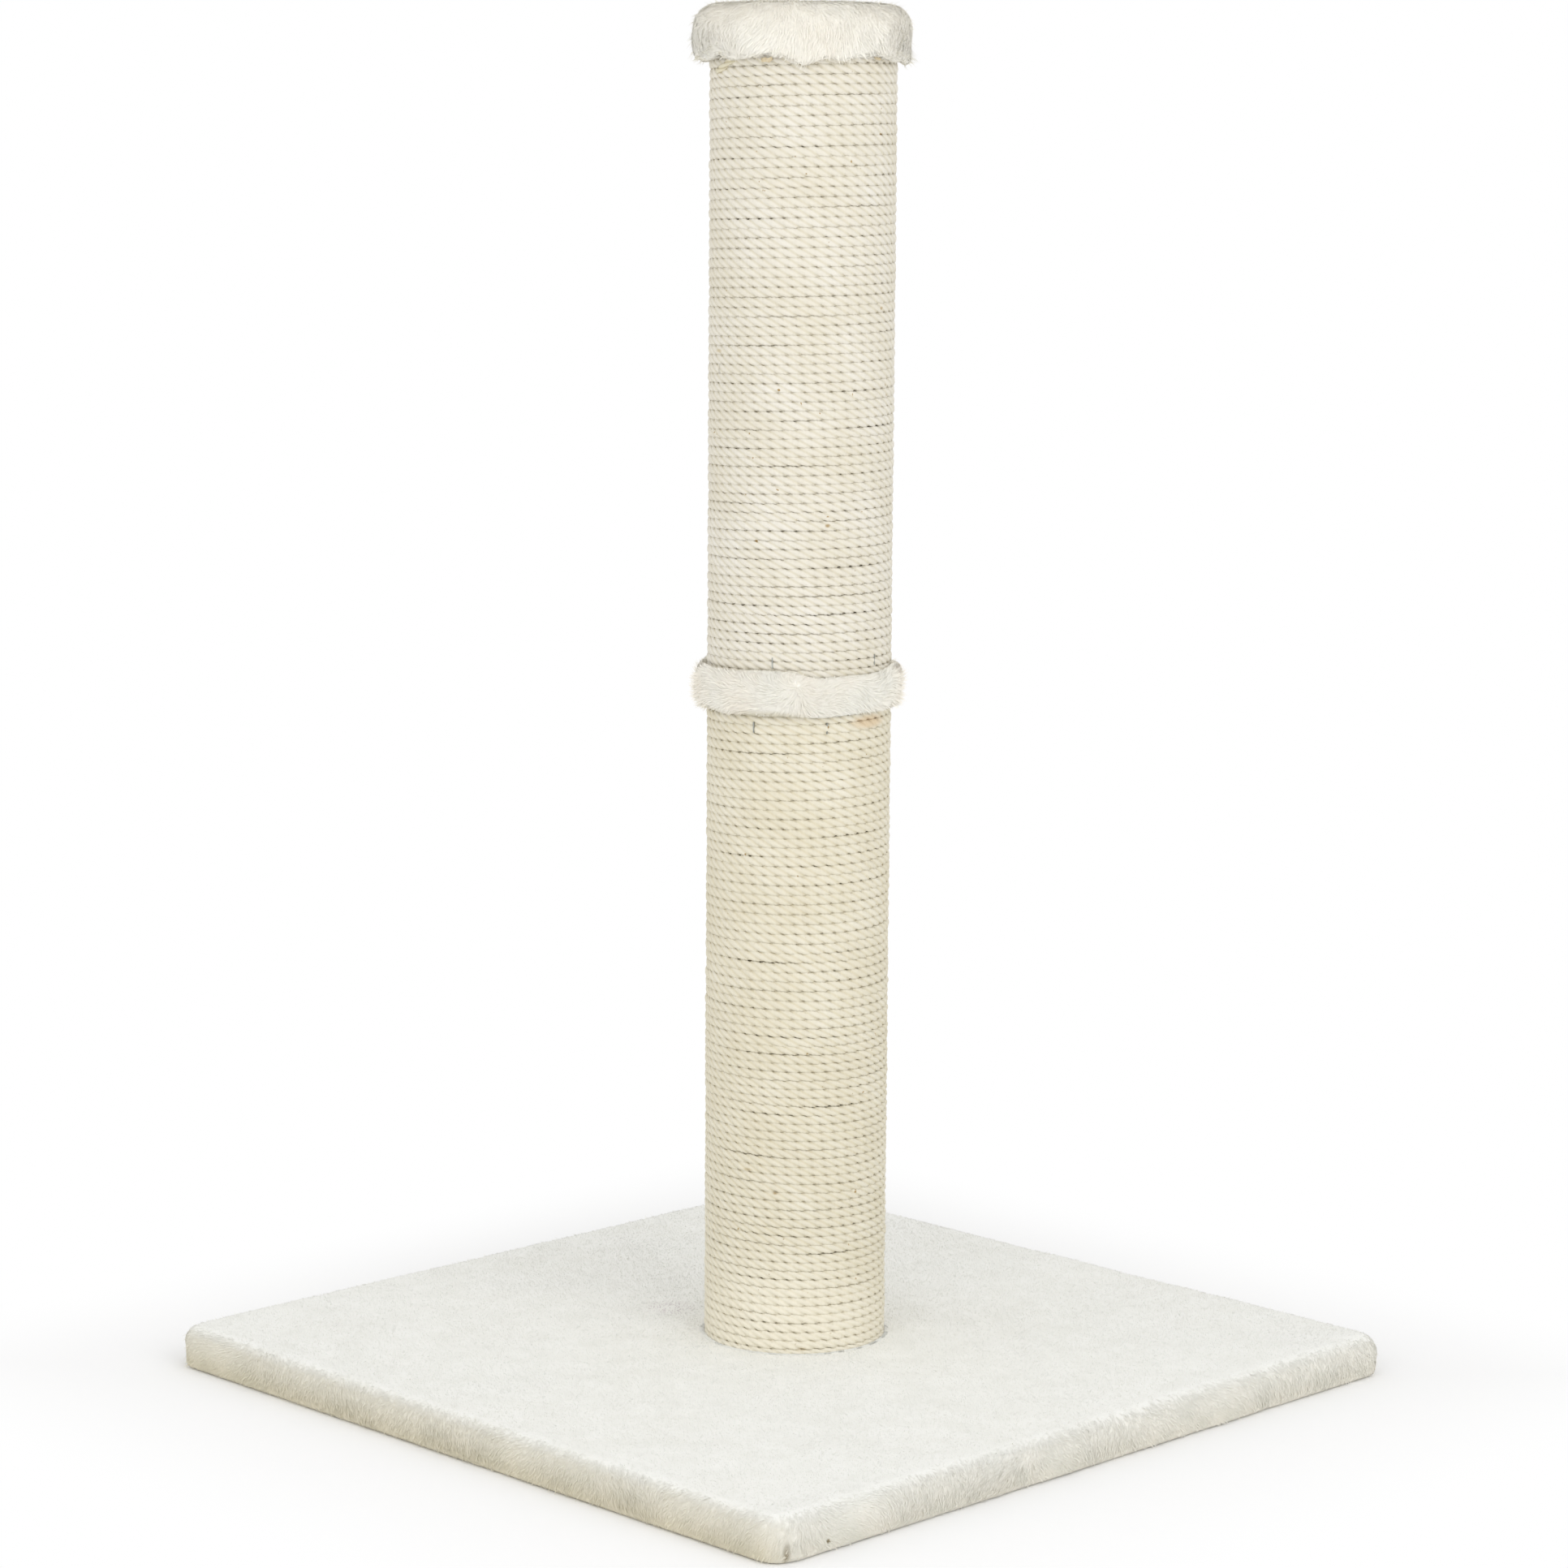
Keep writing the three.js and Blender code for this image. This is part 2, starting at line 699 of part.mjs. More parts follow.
/** The post: two wound sections, the stud that joins them, the band and the cap. */
function post() {
  const group = new THREE.Group();
  group.position.set(postOffsetX, postOffsetY, postFootZ);

  const underBandZ = bandBottomZ - stapleReach;
  const footStapleZ = seatGap + stapleReach;
  const lowerStaples = [...staplesAt(underBandZ, staplesUnderBand), ...staplesAt(footStapleZ, staplesAtFoot)];
  const lowerEnds = [
    { end: "bottom", isTop: false, hasTeeNut: true },
    { end: "top", isTop: true, hasTeeNut: true },
  ];
  group.add(woundSection("lower", lowerEnds, lowerStaples));

  const overBandZ = bandTopZ + stapleReach - upperTubeZ;
  const underCapZ = tubeLength - seatGap - stapleReach;
  const upperStaples = [...staplesAt(overBandZ, staplesOverBand), ...staplesAt(underCapZ, staplesUnderCap)];
  const upperEnds = [
    { end: "bottom", isTop: false, hasTeeNut: true },
    { end: "top", isTop: true, hasTeeNut: false },
  ];
  const upper = woundSection("upper", upperEnds, upperStaples);
  upper.position.z = upperTubeZ;
  group.add(upper);

  const stud = disc(screwDiameter / 2, -studLength / 2, studLength / 2, smallRoundSides);
  group.add(stand(piece("joining_stud", stud, "zinc"), { z: jointZ + seatGap / 2 }));
  group.add(piece("joint_band", jointBand(), "plush"));
  group.add(piece("plush_cap", plushCap(), "plush"));
  return group;
}

const scratchingPost = new THREE.Group();
scratchingPost.add(base(), post());

export default scratchingPost;
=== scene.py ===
"""Dresses a rope and plush cat scratching post around its fixed construction frame.

The frame holds every board, tube, plug, staple and screw at its real size. This script gives those
pieces their finishes, lays the real three-strand rope round the post, and makes the plush of the base
cover, the joint band and the cap from a skin with fibres standing on it. All lengths are in metres.
"""

import logging
import math
from collections.abc import Callable, Iterator, Sequence
from contextlib import contextmanager
from dataclasses import dataclass, field
from enum import Enum
from functools import partial

import bmesh
import bpy
import numpy as np
from mathutils import Matrix, Vector
from mathutils.bvhtree import BVHTree


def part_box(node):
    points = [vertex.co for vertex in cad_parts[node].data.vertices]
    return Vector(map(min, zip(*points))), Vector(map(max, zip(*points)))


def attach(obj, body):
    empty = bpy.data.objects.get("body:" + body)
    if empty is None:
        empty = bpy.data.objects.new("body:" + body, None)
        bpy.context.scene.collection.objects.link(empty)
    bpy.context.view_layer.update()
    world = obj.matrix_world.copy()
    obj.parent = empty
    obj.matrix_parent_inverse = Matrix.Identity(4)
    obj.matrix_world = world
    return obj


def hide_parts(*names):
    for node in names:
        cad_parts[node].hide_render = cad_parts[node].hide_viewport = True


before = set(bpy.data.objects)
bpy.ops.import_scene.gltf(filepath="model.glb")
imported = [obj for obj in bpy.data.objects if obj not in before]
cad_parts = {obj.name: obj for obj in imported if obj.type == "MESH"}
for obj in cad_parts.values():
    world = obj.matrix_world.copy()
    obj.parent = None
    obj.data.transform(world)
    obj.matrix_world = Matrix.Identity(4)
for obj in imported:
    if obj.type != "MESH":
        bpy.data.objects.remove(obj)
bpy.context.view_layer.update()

LOG = logging.getLogger("scratching_post")
MM = 0.001
Field = Callable[[np.ndarray, np.ndarray], np.ndarray]


# ---------------------------------------------------------------- numbers and noise


def linear(tint: str) -> tuple[float, float, float, float]:
    """Turns a written colour into the linear values that a shader socket takes.

    Args:
        tint: the colour as six hexadecimal digits after a number sign.

    Returns:
        Linear red, green, blue and an alpha of one.
    """
    shares = [int(tint[i : i + 2], 16) / 255 for i in (1, 3, 5)]
    curve = [c / 12.92 if c <= 0.04045 else ((c + 0.055) / 1.055) ** 2.4 for c in shares]
    return (*curve, 1.0)


def unit(vectors: np.ndarray) -> np.ndarray:
    """Returns the rows of an array, each at length one."""
    return vectors / np.maximum(np.linalg.norm(vectors, axis=-1, keepdims=True), 1e-12)


def wander(along: np.ndarray, spacing: float, rng: np.random.Generator) -> np.ndarray:
    """Makes a smooth random line with a spread of about one.

    Args:
        along: the places at which it is read.
        spacing: the distance between its turning points.
        rng: the source of its random numbers.

    Returns:
        One value for each place.
    """
    steps = (along - along.min()) / spacing
    knots = rng.normal(size=int(steps.max()) + 3)
    low = steps.astype(int)
    share = steps - low
    share = share * share * (3 - 2 * share)
    return knots[low] * (1 - share) + knots[low + 1] * share


def scramble(cells: np.ndarray, salt: float) -> np.ndarray:
    """Gives each whole-number cell its own lasting number from 0 to 1.

    Args:
        cells: whole numbers, three to a row.
        salt: picks one of many unlike sets of numbers.

    Returns:
        One number for each row.
    """
    mixed = np.sin(cells @ np.array([12.9898, 78.233, 37.719]) + salt * 4.1414) * 43758.5453
    return mixed - np.floor(mixed)


# ---------------------------------------------------------------- the modelling bench


class Bench:
    """Blender's own modelling tools, each with the selection that it needs."""

    @staticmethod
    def pick_only(piece: bpy.types.Object) -> None:
        """Selects one object and makes it the active one."""
        bpy.ops.object.select_all(action="DESELECT")
        piece.select_set(True)
        bpy.context.view_layer.objects.active = piece

    @staticmethod
    def take(name: str) -> bpy.types.Object:
        """Names the primitive just added, settles its place into its mesh and returns it."""
        piece = bpy.context.active_object
        piece.name = name
        piece.data.name = name
        Bench.pick_only(piece)
        bpy.ops.object.transform_apply(location=True, rotation=True, scale=True)
        return piece

    @staticmethod
    @contextmanager
    def editing(piece: bpy.types.Object) -> Iterator[None]:
        """Opens a piece in edit mode with nothing selected, and closes it again."""
        Bench.pick_only(piece)
        bpy.ops.object.mode_set(mode="EDIT")
        bpy.ops.mesh.select_all(action="DESELECT")
        try:
            yield
        finally:
            bpy.ops.object.mode_set(mode="OBJECT")

    @staticmethod
    def pick_faces(piece: bpy.types.Object, test: Callable[[Vector, Vector], bool]) -> None:
        """Selects the faces whose centre and normal pass a test.

        Args:
            piece: the object that is open in edit mode.
            test: says of a face's centre and normal whether it is wanted.
        """
        bpy.ops.mesh.select_mode(type="FACE")
        bpy.ops.mesh.select_all(action="DESELECT")
        shape = bmesh.from_edit_mesh(piece.data)
        for face in [f for f in shape.faces if test(f.calc_center_median(), f.normal)]:
            face.select_set(True)
        bmesh.update_edit_mesh(piece.data)

    @staticmethod
    def pick_edges(piece: bpy.types.Object, test: Callable[[Vector, Vector], bool]) -> None:
        """Selects the edges whose two ends pass a test.

        Args:
            piece: the object that is open in edit mode.
            test: says of an edge's two ends whether it is wanted.
        """
        bpy.ops.mesh.select_mode(type="EDGE")
        bpy.ops.mesh.select_all(action="DESELECT")
        shape = bmesh.from_edit_mesh(piece.data)
        for edge in [e for e in shape.edges if test(e.verts[0].co, e.verts[1].co)]:
            edge.select_set(True)
        bmesh.update_edit_mesh(piece.data)

    @staticmethod
    def modify(piece: bpy.types.Object, kind: str, **settings: object) -> None:
        """Adds one modifier to a piece and applies it."""
        Bench.pick_only(piece)
        modifier = piece.modifiers.new(kind.lower(), kind)
        for key, value in settings.items():
            setattr(modifier, key, value)
        bpy.ops.object.modifier_apply(modifier=modifier.name)

    @staticmethod
    def points(piece: bpy.types.Object) -> np.ndarray:
        """Returns the places of a mesh's vertices, three numbers to a row."""
        flat = np.empty(len(piece.data.vertices) * 3, np.float32)
        piece.data.vertices.foreach_get("co", flat)
        return flat.reshape(-1, 3).astype(float)

    @staticmethod
    def normals(piece: bpy.types.Object) -> np.ndarray:
        """Returns the normals of a mesh's vertices, three numbers to a row."""
        flat = np.empty(len(piece.data.vertices) * 3, np.float32)
        piece.data.vertex_normals.foreach_get("vector", flat)
        return flat.reshape(-1, 3).astype(float)

    @staticmethod
    def reshape(piece: bpy.types.Object, points: np.ndarray) -> None:
        """Moves a mesh's vertices to new places."""
        piece.data.vertices.foreach_set("co", points.astype(np.float32).ravel())
        piece.data.update()

    @staticmethod
    def mesh(name: str, points: np.ndarray, faces: Sequence[np.ndarray]) -> bpy.types.Object:
        """Makes a mesh object from arrays.

        Args:
            name: the piece's name.
            points: its vertices, three numbers to a row.
            faces: arrays of vertex numbers, each array with one face to a row.

        Returns:
            The new object.
        """
        made = bpy.data.meshes.new(name)
        made.vertices.add(len(points))
        made.vertices.foreach_set("co", points.astype(np.float32).ravel())
        corners = np.concatenate([f.ravel() for f in faces]).astype(np.int32)
        sides = np.concatenate([np.full(len(f), f.shape[1]) for f in faces])
        made.loops.add(len(corners))
        made.loops.foreach_set("vertex_index", corners)
        made.polygons.add(len(sides))
        made.polygons.foreach_set("loop_start", (np.cumsum(sides) - sides).astype(np.int32))
        made.update(calc_edges=True)
        piece = bpy.data.objects.new(name, made)
        bpy.context.scene.collection.objects.link(piece)
        return piece

    @staticmethod
    def mark(piece: bpy.types.Object, name: str, values: np.ndarray) -> None:
        """Keeps one number for each vertex of a piece, for its material to read."""
        layer = piece.data.attributes.new(name, "FLOAT", "POINT")
        layer.data.foreach_set("value", values.astype(np.float32))

    @staticmethod
    def smooth(piece: bpy.types.Object) -> None:
        """Shades all of a piece's faces smooth."""
        piece.data.polygons.foreach_set("use_smooth", np.ones(len(piece.data.polygons), bool))

    @staticmethod
    def dress(piece: bpy.types.Object, *coats: bpy.types.Material) -> None:
        """Gives a piece its materials in place of any that it had."""
        piece.data.materials.clear()
        for coat in coats:
            piece.data.materials.append(coat)


# ---------------------------------------------------------------- materials


Socket = bpy.types.NodeSocket
Inputs = dict[str | int, object]
VECTOR, FLOAT, COLOUR = "NodeSocketVector", "NodeSocketFloat", "NodeSocketColor"
WHITE = (1.0, 1.0, 1.0, 1.0)


class Sheet:
    """One node tree while its nodes are laid out and joined."""

    def __init__(self, tree: bpy.types.NodeTree) -> None:
        """Starts on an empty tree."""
        self.tree = tree
        tree.nodes.clear()

    def feed(self, node: bpy.types.Node, inputs: Inputs) -> bpy.types.Node:
        """Fills a node's sockets.

        Args:
            node: the node to fill.
            inputs: values or other nodes' outputs for its sockets, by name or number.

        Returns:
            The same node.
        """
        for key, value in inputs.items():
            if isinstance(value, Socket):
                self.tree.links.new(value, node.inputs[key])
            else:
                node.inputs[key].default_value = value
        return node

    def add(self, kind: str, inputs: Inputs | None = None, **settings: object) -> bpy.types.Node:
        """Adds a node.

        Args:
            kind: the node's type.
            inputs: values or other nodes' outputs for its sockets, by name or number.
            settings: the node's own options.

        Returns:
            The new node.
        """
        node = self.tree.nodes.new(kind)
        for key, value in settings.items():
            setattr(node, key, value)
        return self.feed(node, inputs or {})

    def mix(self, share: object, first: object, second: object) -> Socket:
        """Blends two colours and returns the result's socket."""
        return self.add("ShaderNodeMix", {0: share, 6: first, 7: second}, data_type="RGBA").outputs[2]

    def math(self, way: str, first: object, second: object = 0.0, clamp: bool = False) -> Socket:
        """Works out one number from two and returns its socket."""
        return self.add("ShaderNodeMath", {0: first, 1: second}, operation=way, use_clamp=clamp).outputs[0]

    def noise(self, place: Socket, scale: object, detail: object) -> Socket:
        """Returns the socket of a soft noise in space."""
        inputs = {"Vector": place, "Scale": scale, "Detail": detail}
        return self.add("ShaderNodeTexNoise", inputs).outputs["Fac"]

    def ramp(
        self, value: Socket, start: float, end: float, top: object = 1.0, smooth: bool = False
    ) -> Socket:
        """Turns a number's way from start to end into one from 0 to top and returns its socket."""
        inputs = {"Value": value, "From Min": start, "From Max": end, "To Max": top}
        way = "SMOOTHSTEP" if smooth else "LINEAR"
        return self.add("ShaderNodeMapRange", inputs, interpolation_type=way).outputs[0]

    def group(self, tree: bpy.types.NodeTree, inputs: Inputs) -> bpy.types.Node:
        """Places a node group with its own values."""
        return self.add("ShaderNodeGroup", inputs, node_tree=tree)


class Group(Sheet):
    """A shader node group that several materials share."""

    def __init__(self, name: str, inputs: dict[str, str], outputs: dict[str, str]) -> None:
        """Starts a group.

        Args:
            name: the group's name.
            inputs: the socket type of each input, by name.
            outputs: the socket type of each output, by name.
        """
        super().__init__(bpy.data.node_groups.new(name, "ShaderNodeTree"))
        for way, sockets in (("INPUT", inputs), ("OUTPUT", outputs)):
            for title, kind in sockets.items():
                self.tree.interface.new_socket(name=title, in_out=way, socket_type=kind)
        self._into = self.add("NodeGroupInput")
        self._out = self.add("NodeGroupOutput")

    def given(self, title: str) -> Socket:
        """Returns the socket of one of the group's inputs."""
        return self._into.outputs[title]

    def done(self, outputs: Inputs) -> bpy.types.NodeTree:
        """Joins the group's outputs and returns its tree."""
        self.feed(self._out, outputs)
        return self.tree


def mottle_group() -> bpy.types.NodeTree:
    """Builds the group that drifts between two colours in soft patches."""
    sheet = Group(
        "mottle",
        {"Vector": VECTOR, "Scale": FLOAT, "Detail": FLOAT, "Low": COLOUR, "High": COLOUR},
        {"Color": COLOUR, "Mask": FLOAT},
    )
    noise = sheet.noise(sheet.given("Vector"), sheet.given("Scale"), sheet.given("Detail"))
    mask = sheet.ramp(noise, 0.32, 0.68)
    return sheet.done({"Color": sheet.mix(mask, sheet.given("Low"), sheet.given("High")), "Mask": mask})


def streak_group() -> bpy.types.NodeTree:
    """Builds the group of fine streaks that run along the first coordinate."""
    sheet = Group(
        "streaks", {"Vector": VECTOR, "Along": FLOAT, "Across": FLOAT}, {"Mask": FLOAT, "Height": FLOAT}
    )
    parts = sheet.add("ShaderNodeSeparateXYZ", {0: sheet.given("Vector")})
    drawn = {
        i: sheet.math("MULTIPLY", parts.outputs[i], sheet.given(scale))
        for i, scale in enumerate(("Along", "Across", "Across"))
    }
    noise = sheet.noise(sheet.add("ShaderNodeCombineXYZ", drawn).outputs[0], 1.0, 3.0)
    return sheet.done({"Mask": sheet.ramp(noise, 0.3, 0.7), "Height": noise})


def rim_painted_shade_group() -> bpy.types.NodeTree:
    """Builds the group of painted shade down the base's rim and walls, darker on the -x and -y sides."""
    rim_top, rim_foot, wall_foot = 24.7 * MM, 17.0 * MM, 5.0 * MM
    turn = 12 * MM  # how far to either side of the front corner the lighter side gives way to the darker
    sheet = Group(
        "rim_painted_shade",
        {"Vector": VECTOR, "Color": COLOUR, "Side": COLOUR, "Shade": COLOUR},
        {"Color": COLOUR},
    )
    parts = sheet.add("ShaderNodeSeparateXYZ", {0: sheet.given("Vector")})
    # Painted shade: the colour goes over to the side tints down the rim and on down the wall, darker towards
    # the floor.
    rim = sheet.ramp(parts.outputs[2], rim_top, rim_foot, 0.6, smooth=True)
    wall = sheet.ramp(parts.outputs[2], rim_foot, wall_foot, 0.4)
    share = sheet.math("ADD", rim, wall)
    # Painted shade: the faces towards -x and -y take the darker Shade tint, those towards +x and +y the
    # lighter Side tint.
    across = sheet.math("ADD", parts.outputs[0], parts.outputs[1])
    side = sheet.mix(sheet.ramp(across, -turn, turn), sheet.given("Shade"), sheet.given("Side"))
    return sheet.done({"Color": sheet.mix(share, sheet.given("Color"), side)})


def stain_and_light_group() -> bpy.types.NodeTree:
    """Builds the group that tints a colour round one place, with a soft edge."""
    sheet = Group(
        "stain_and_light",
        {
            "Vector": VECTOR, "Color": COLOUR, "Place": VECTOR, "Size": VECTOR,
            "Tint": COLOUR, "Strength": FLOAT,
        },
        {"Color": COLOUR},
    )
    corners = {0: sheet.given("Vector"), 1: sheet.given("Place")}
    off = sheet.add("ShaderNodeVectorMath", corners, operation="SUBTRACT")
    shares = {0: off.outputs[0], 1: sheet.given("Size")}
    scaled = sheet.add("ShaderNodeVectorMath", shares, operation="DIVIDE")
    far = sheet.add("ShaderNodeVectorMath", {0: scaled.outputs[0]}, operation="LENGTH")
    near = sheet.ramp(far.outputs["Value"], 1.0, 0.3, sheet.given("Strength"), smooth=True)
    return sheet.done({"Color": sheet.mix(near, sheet.given("Color"), sheet.given("Tint"))})


MOTTLE = mottle_group()
STREAKS = streak_group()
RIM_PAINTED_SHADE = rim_painted_shade_group()
STAIN_AND_LIGHT = stain_and_light_group()


@dataclass(frozen=True)
class StainAndPaintedLight:
    """A tinted place on a finish, used for real stains and flecks and for painted shade and painted light:
    where it is, how far it reaches along each axis, and its tint.
    """

    place: tuple[float, float, float]
    size: tuple[float, float, float]
    tint: str
    strength: float = 0.7


class Surface(Sheet):
    """A material while its nodes are laid out, with its main shader."""

    def __init__(self, name: str) -> None:
        """Starts a material."""
        self.material = bpy.data.materials.new(name)
        self.material.use_nodes = True
        super().__init__(self.material.node_tree)
        self.shader = self.add("ShaderNodeBsdfPrincipled")
        self.add("ShaderNodeOutputMaterial", {"Surface": self.shader.outputs[0]})
        self.place = self.add("ShaderNodeTexCoord").outputs["Object"]

    def carried(self, name: str) -> Socket:
        """Returns the number that a piece carries at each of its vertices."""
        return self.add("ShaderNodeAttribute", attribute_name=name).outputs["Fac"]

    def mottle(self, scale: float, detail: float, low: str, high: str) -> bpy.types.Node:
        """Lays soft patches of two written colours and returns the group's node."""
        sockets = {"Scale": scale, "Detail": detail, "Low": linear(low), "High": linear(high)}
        return self.group(MOTTLE, {"Vector": self.place, **sockets})

    def shaded_down_rim(self, colour: Socket, side: object, shade: object) -> Socket:
        """Paints shade down the base's rim and walls by taking a colour over to the side tints."""
        sockets = {"Vector": self.place, "Color": colour, "Side": side, "Shade": shade}
        return self.group(RIM_PAINTED_SHADE, sockets).outputs[0]

    def with_stains_and_light(self, colour: Socket, stains_and_light: Sequence[StainAndPaintedLight]) -> Socket:
        """Lays real stains, painted shade and painted light over a colour, the last on top."""
        for stain_and_light in stains_and_light:
            sockets = {
                "Vector": self.place, "Color": colour, "Place": stain_and_light.place, "Size": stain_and_light.size,
                "Tint": linear(stain_and_light.tint), "Strength": stain_and_light.strength,
            }
            colour = self.group(STAIN_AND_LIGHT, sockets).outputs[0]
        return colour

    def bump(self, height: Socket, strength: float, distance: float) -> None:
        """Gives the shader a relief."""
        inputs = {"Height": height, "Strength": strength, "Distance": distance}
        self.feed(self.shader, {"Normal": self.add("ShaderNodeBump", inputs).outputs[0]})

    def finish(self, colour: Socket, roughness: object, gloss: float = 0.5) -> bpy.types.Material:
        """Joins the colour to the shader.

        Args:
            colour: the socket that gives the colour.
            roughness: a value or a socket.
            gloss: how much light the surface mirrors at its plainest.

        Returns:
            The finished material.
        """
        self.feed(self.shader, {"Base Color": colour, "Roughness": roughness, "Specular IOR Level": gloss})
        return self.material


@dataclass(frozen=True)
class PileFinish:
    """Soft white fibre: painted shade at its root, paler towards its tip, each lock a little unlike the
    next.

    Where side and shade are given, the fibre takes those tints below the rim of the base as painted shade:
    the side tint on its lighter sides and the shade tint on its darker ones.
    """

    name: str
    root: str
    tip: str
    warm: str
    side: str = ""
    shade: str = ""
    side_dull: str = ""
    shade_dull: str = ""
    patch_scale: float = 14.0
    lock_depth: float = 0.3
    stains_and_light: tuple[StainAndPaintedLight, ...] = ()

    def build(self) -> bpy.types.Material:
        """Returns the material for fibres that carry pile_height and lock_tone."""
        sheet = Surface(self.name)
        patches = sheet.mottle(self.patch_scale, 2.0, self.tip, self.warm).outputs["Color"]
        # Painted shade: the darker root colour at the fibre's foot gives way to the pale patches towards its
        # tip.
        rise = sheet.ramp(sheet.carried("pile_height"), 0.0, 0.75)
        body = sheet.mix(rise, linear(self.root), patches)
        tone = sheet.math("MULTIPLY", sheet.carried("lock_tone"), self.lock_depth)
        colour = sheet.mix(tone, body, linear(self.root))
        # Painted shade below the base's rim: the side tints, lighter and darker by face.
        if self.side:
            side = sheet.mottle(55.0, 3.0, self.side, self.side_dull).outputs["Color"]
            shade = sheet.mottle(55.0, 3.0, self.shade, self.shade_dull).outputs["Color"]
            colour = sheet.shaded_down_rim(colour, side, shade)
        return sheet.finish(sheet.with_stains_and_light(colour, self.stains_and_light), roughness=0.95, gloss=0.1)


@dataclass(frozen=True)
class SkinFinish:
    """The ground that the pile stands on: matted fibre with a fine nap."""

    name: str
    low: str
    high: str
    side: str = ""
    shade: str = ""
    nap_scale: float = 900.0

    def build(self) -> bpy.types.Material:
        """Returns the material for a plush skin."""
        sheet = Surface(self.name)
        colour = sheet.mottle(60.0, 4.0, self.low, self.high).outputs["Color"]
        # Painted shade below the base's rim, as on the fibre.
        if self.side:
            colour = sheet.shaded_down_rim(colour, linear(self.side), linear(self.shade))
        sheet.bump(sheet.noise(sheet.place, self.nap_scale, 3.0), 0.3, 0.6 * MM)
        return sheet.finish(colour, roughness=0.95, gloss=0.1)


@dataclass(frozen=True)
class RopeFinish:
    """Pale natural fibre, laid in strands: streaked along the yarn, with painted shade down in the lay."""

    name: str
    pale: str
    straw: str
    groove_shade: str
    fleck: str = "#AD9262"
    stains_and_light: tuple[StainAndPaintedLight, ...] = ()

    def build(self) -> bpy.types.Material:
        """Returns the material for rope that carries crest and strand_tone."""
        sheet = Surface(self.name)
        lay = sheet.add("ShaderNodeUVMap", uv_map="lay").outputs[0]
        fibres = sheet.group(STREAKS, {"Vector": lay, "Along": 260.0, "Across": 3200.0})
        colour = sheet.mottle(35.0, 3.0, self.pale, self.straw).outputs["Color"]
        tone = sheet.math("MULTIPLY", sheet.carried("strand_tone"), 0.6, clamp=True)
        colour = sheet.mix(tone, colour, linear(self.straw))
        streaks = sheet.math("MULTIPLY", fibres.outputs["Mask"], 0.25)
        colour = sheet.mix(streaks, colour, linear(self.straw))
        # Painted shade: the groove tint darkens the rope down in the lay, away from the strands' crests.
        hollow = sheet.ramp(sheet.carried("crest"), 0.45, 0.0, 0.6)
        colour = sheet.mix(hollow, colour, linear(self.groove_shade))
        specks = sheet.ramp(sheet.noise(sheet.place, 240.0, 1.0), 0.775, 0.81)
        colour = sheet.mix(specks, colour, linear(self.fleck))
        sheet.bump(fibres.outputs["Height"], 0.55, 0.4 * MM)
        return sheet.finish(sheet.with_stains_and_light(colour, self.stains_and_light), roughness=0.88, gloss=0.15)


@dataclass(frozen=True)
class WoodFinish:
    """Board, pine or card: two tones in grain or chips, with a bump to match."""

    name: str
    low: str
    high: str
    along: float
    across: float
    roughness: float = 0.8
    relief: float = 0.2 * MM

    def build(self) -> bpy.types.Material:
        """Returns the material for a wooden or card piece."""
        sheet = Surface(self.name)
        grain = sheet.group(STREAKS, {"Vector": sheet.place, "Along": self.along, "Across": self.across})
        patches = sheet.mottle(45.0, 5.0, self.low, self.high).outputs["Color"]
        sheet.bump(grain.outputs["Height"], 0.5, self.relief)
        colour = sheet.mix(grain.outputs["Mask"], patches, linear(self.high))
        return sheet.finish(colour, self.roughness)


@dataclass(frozen=True)
class ZincFinish:
    """Zinc-plated steel wire and screws, clouded and lightly scratched."""

    name: str = "zinc_steel"
    bright: str = "#B4B5B0"
    dull: str = "#8E908A"

    def build(self) -> bpy.types.Material:
        """Returns the material for the metal pieces."""
        sheet = Surface(self.name)
        clouds = sheet.mottle(320.0, 4.0, self.bright, self.dull)
        worn = {"Value": clouds.outputs["Mask"], "To Min": 0.28, "To Max": 0.5}
        sheet.feed(sheet.shader, {"Metallic": 1.0})
        return sheet.finish(clouds.outputs["Color"], sheet.add("ShaderNodeMapRange", worn).outputs[0])


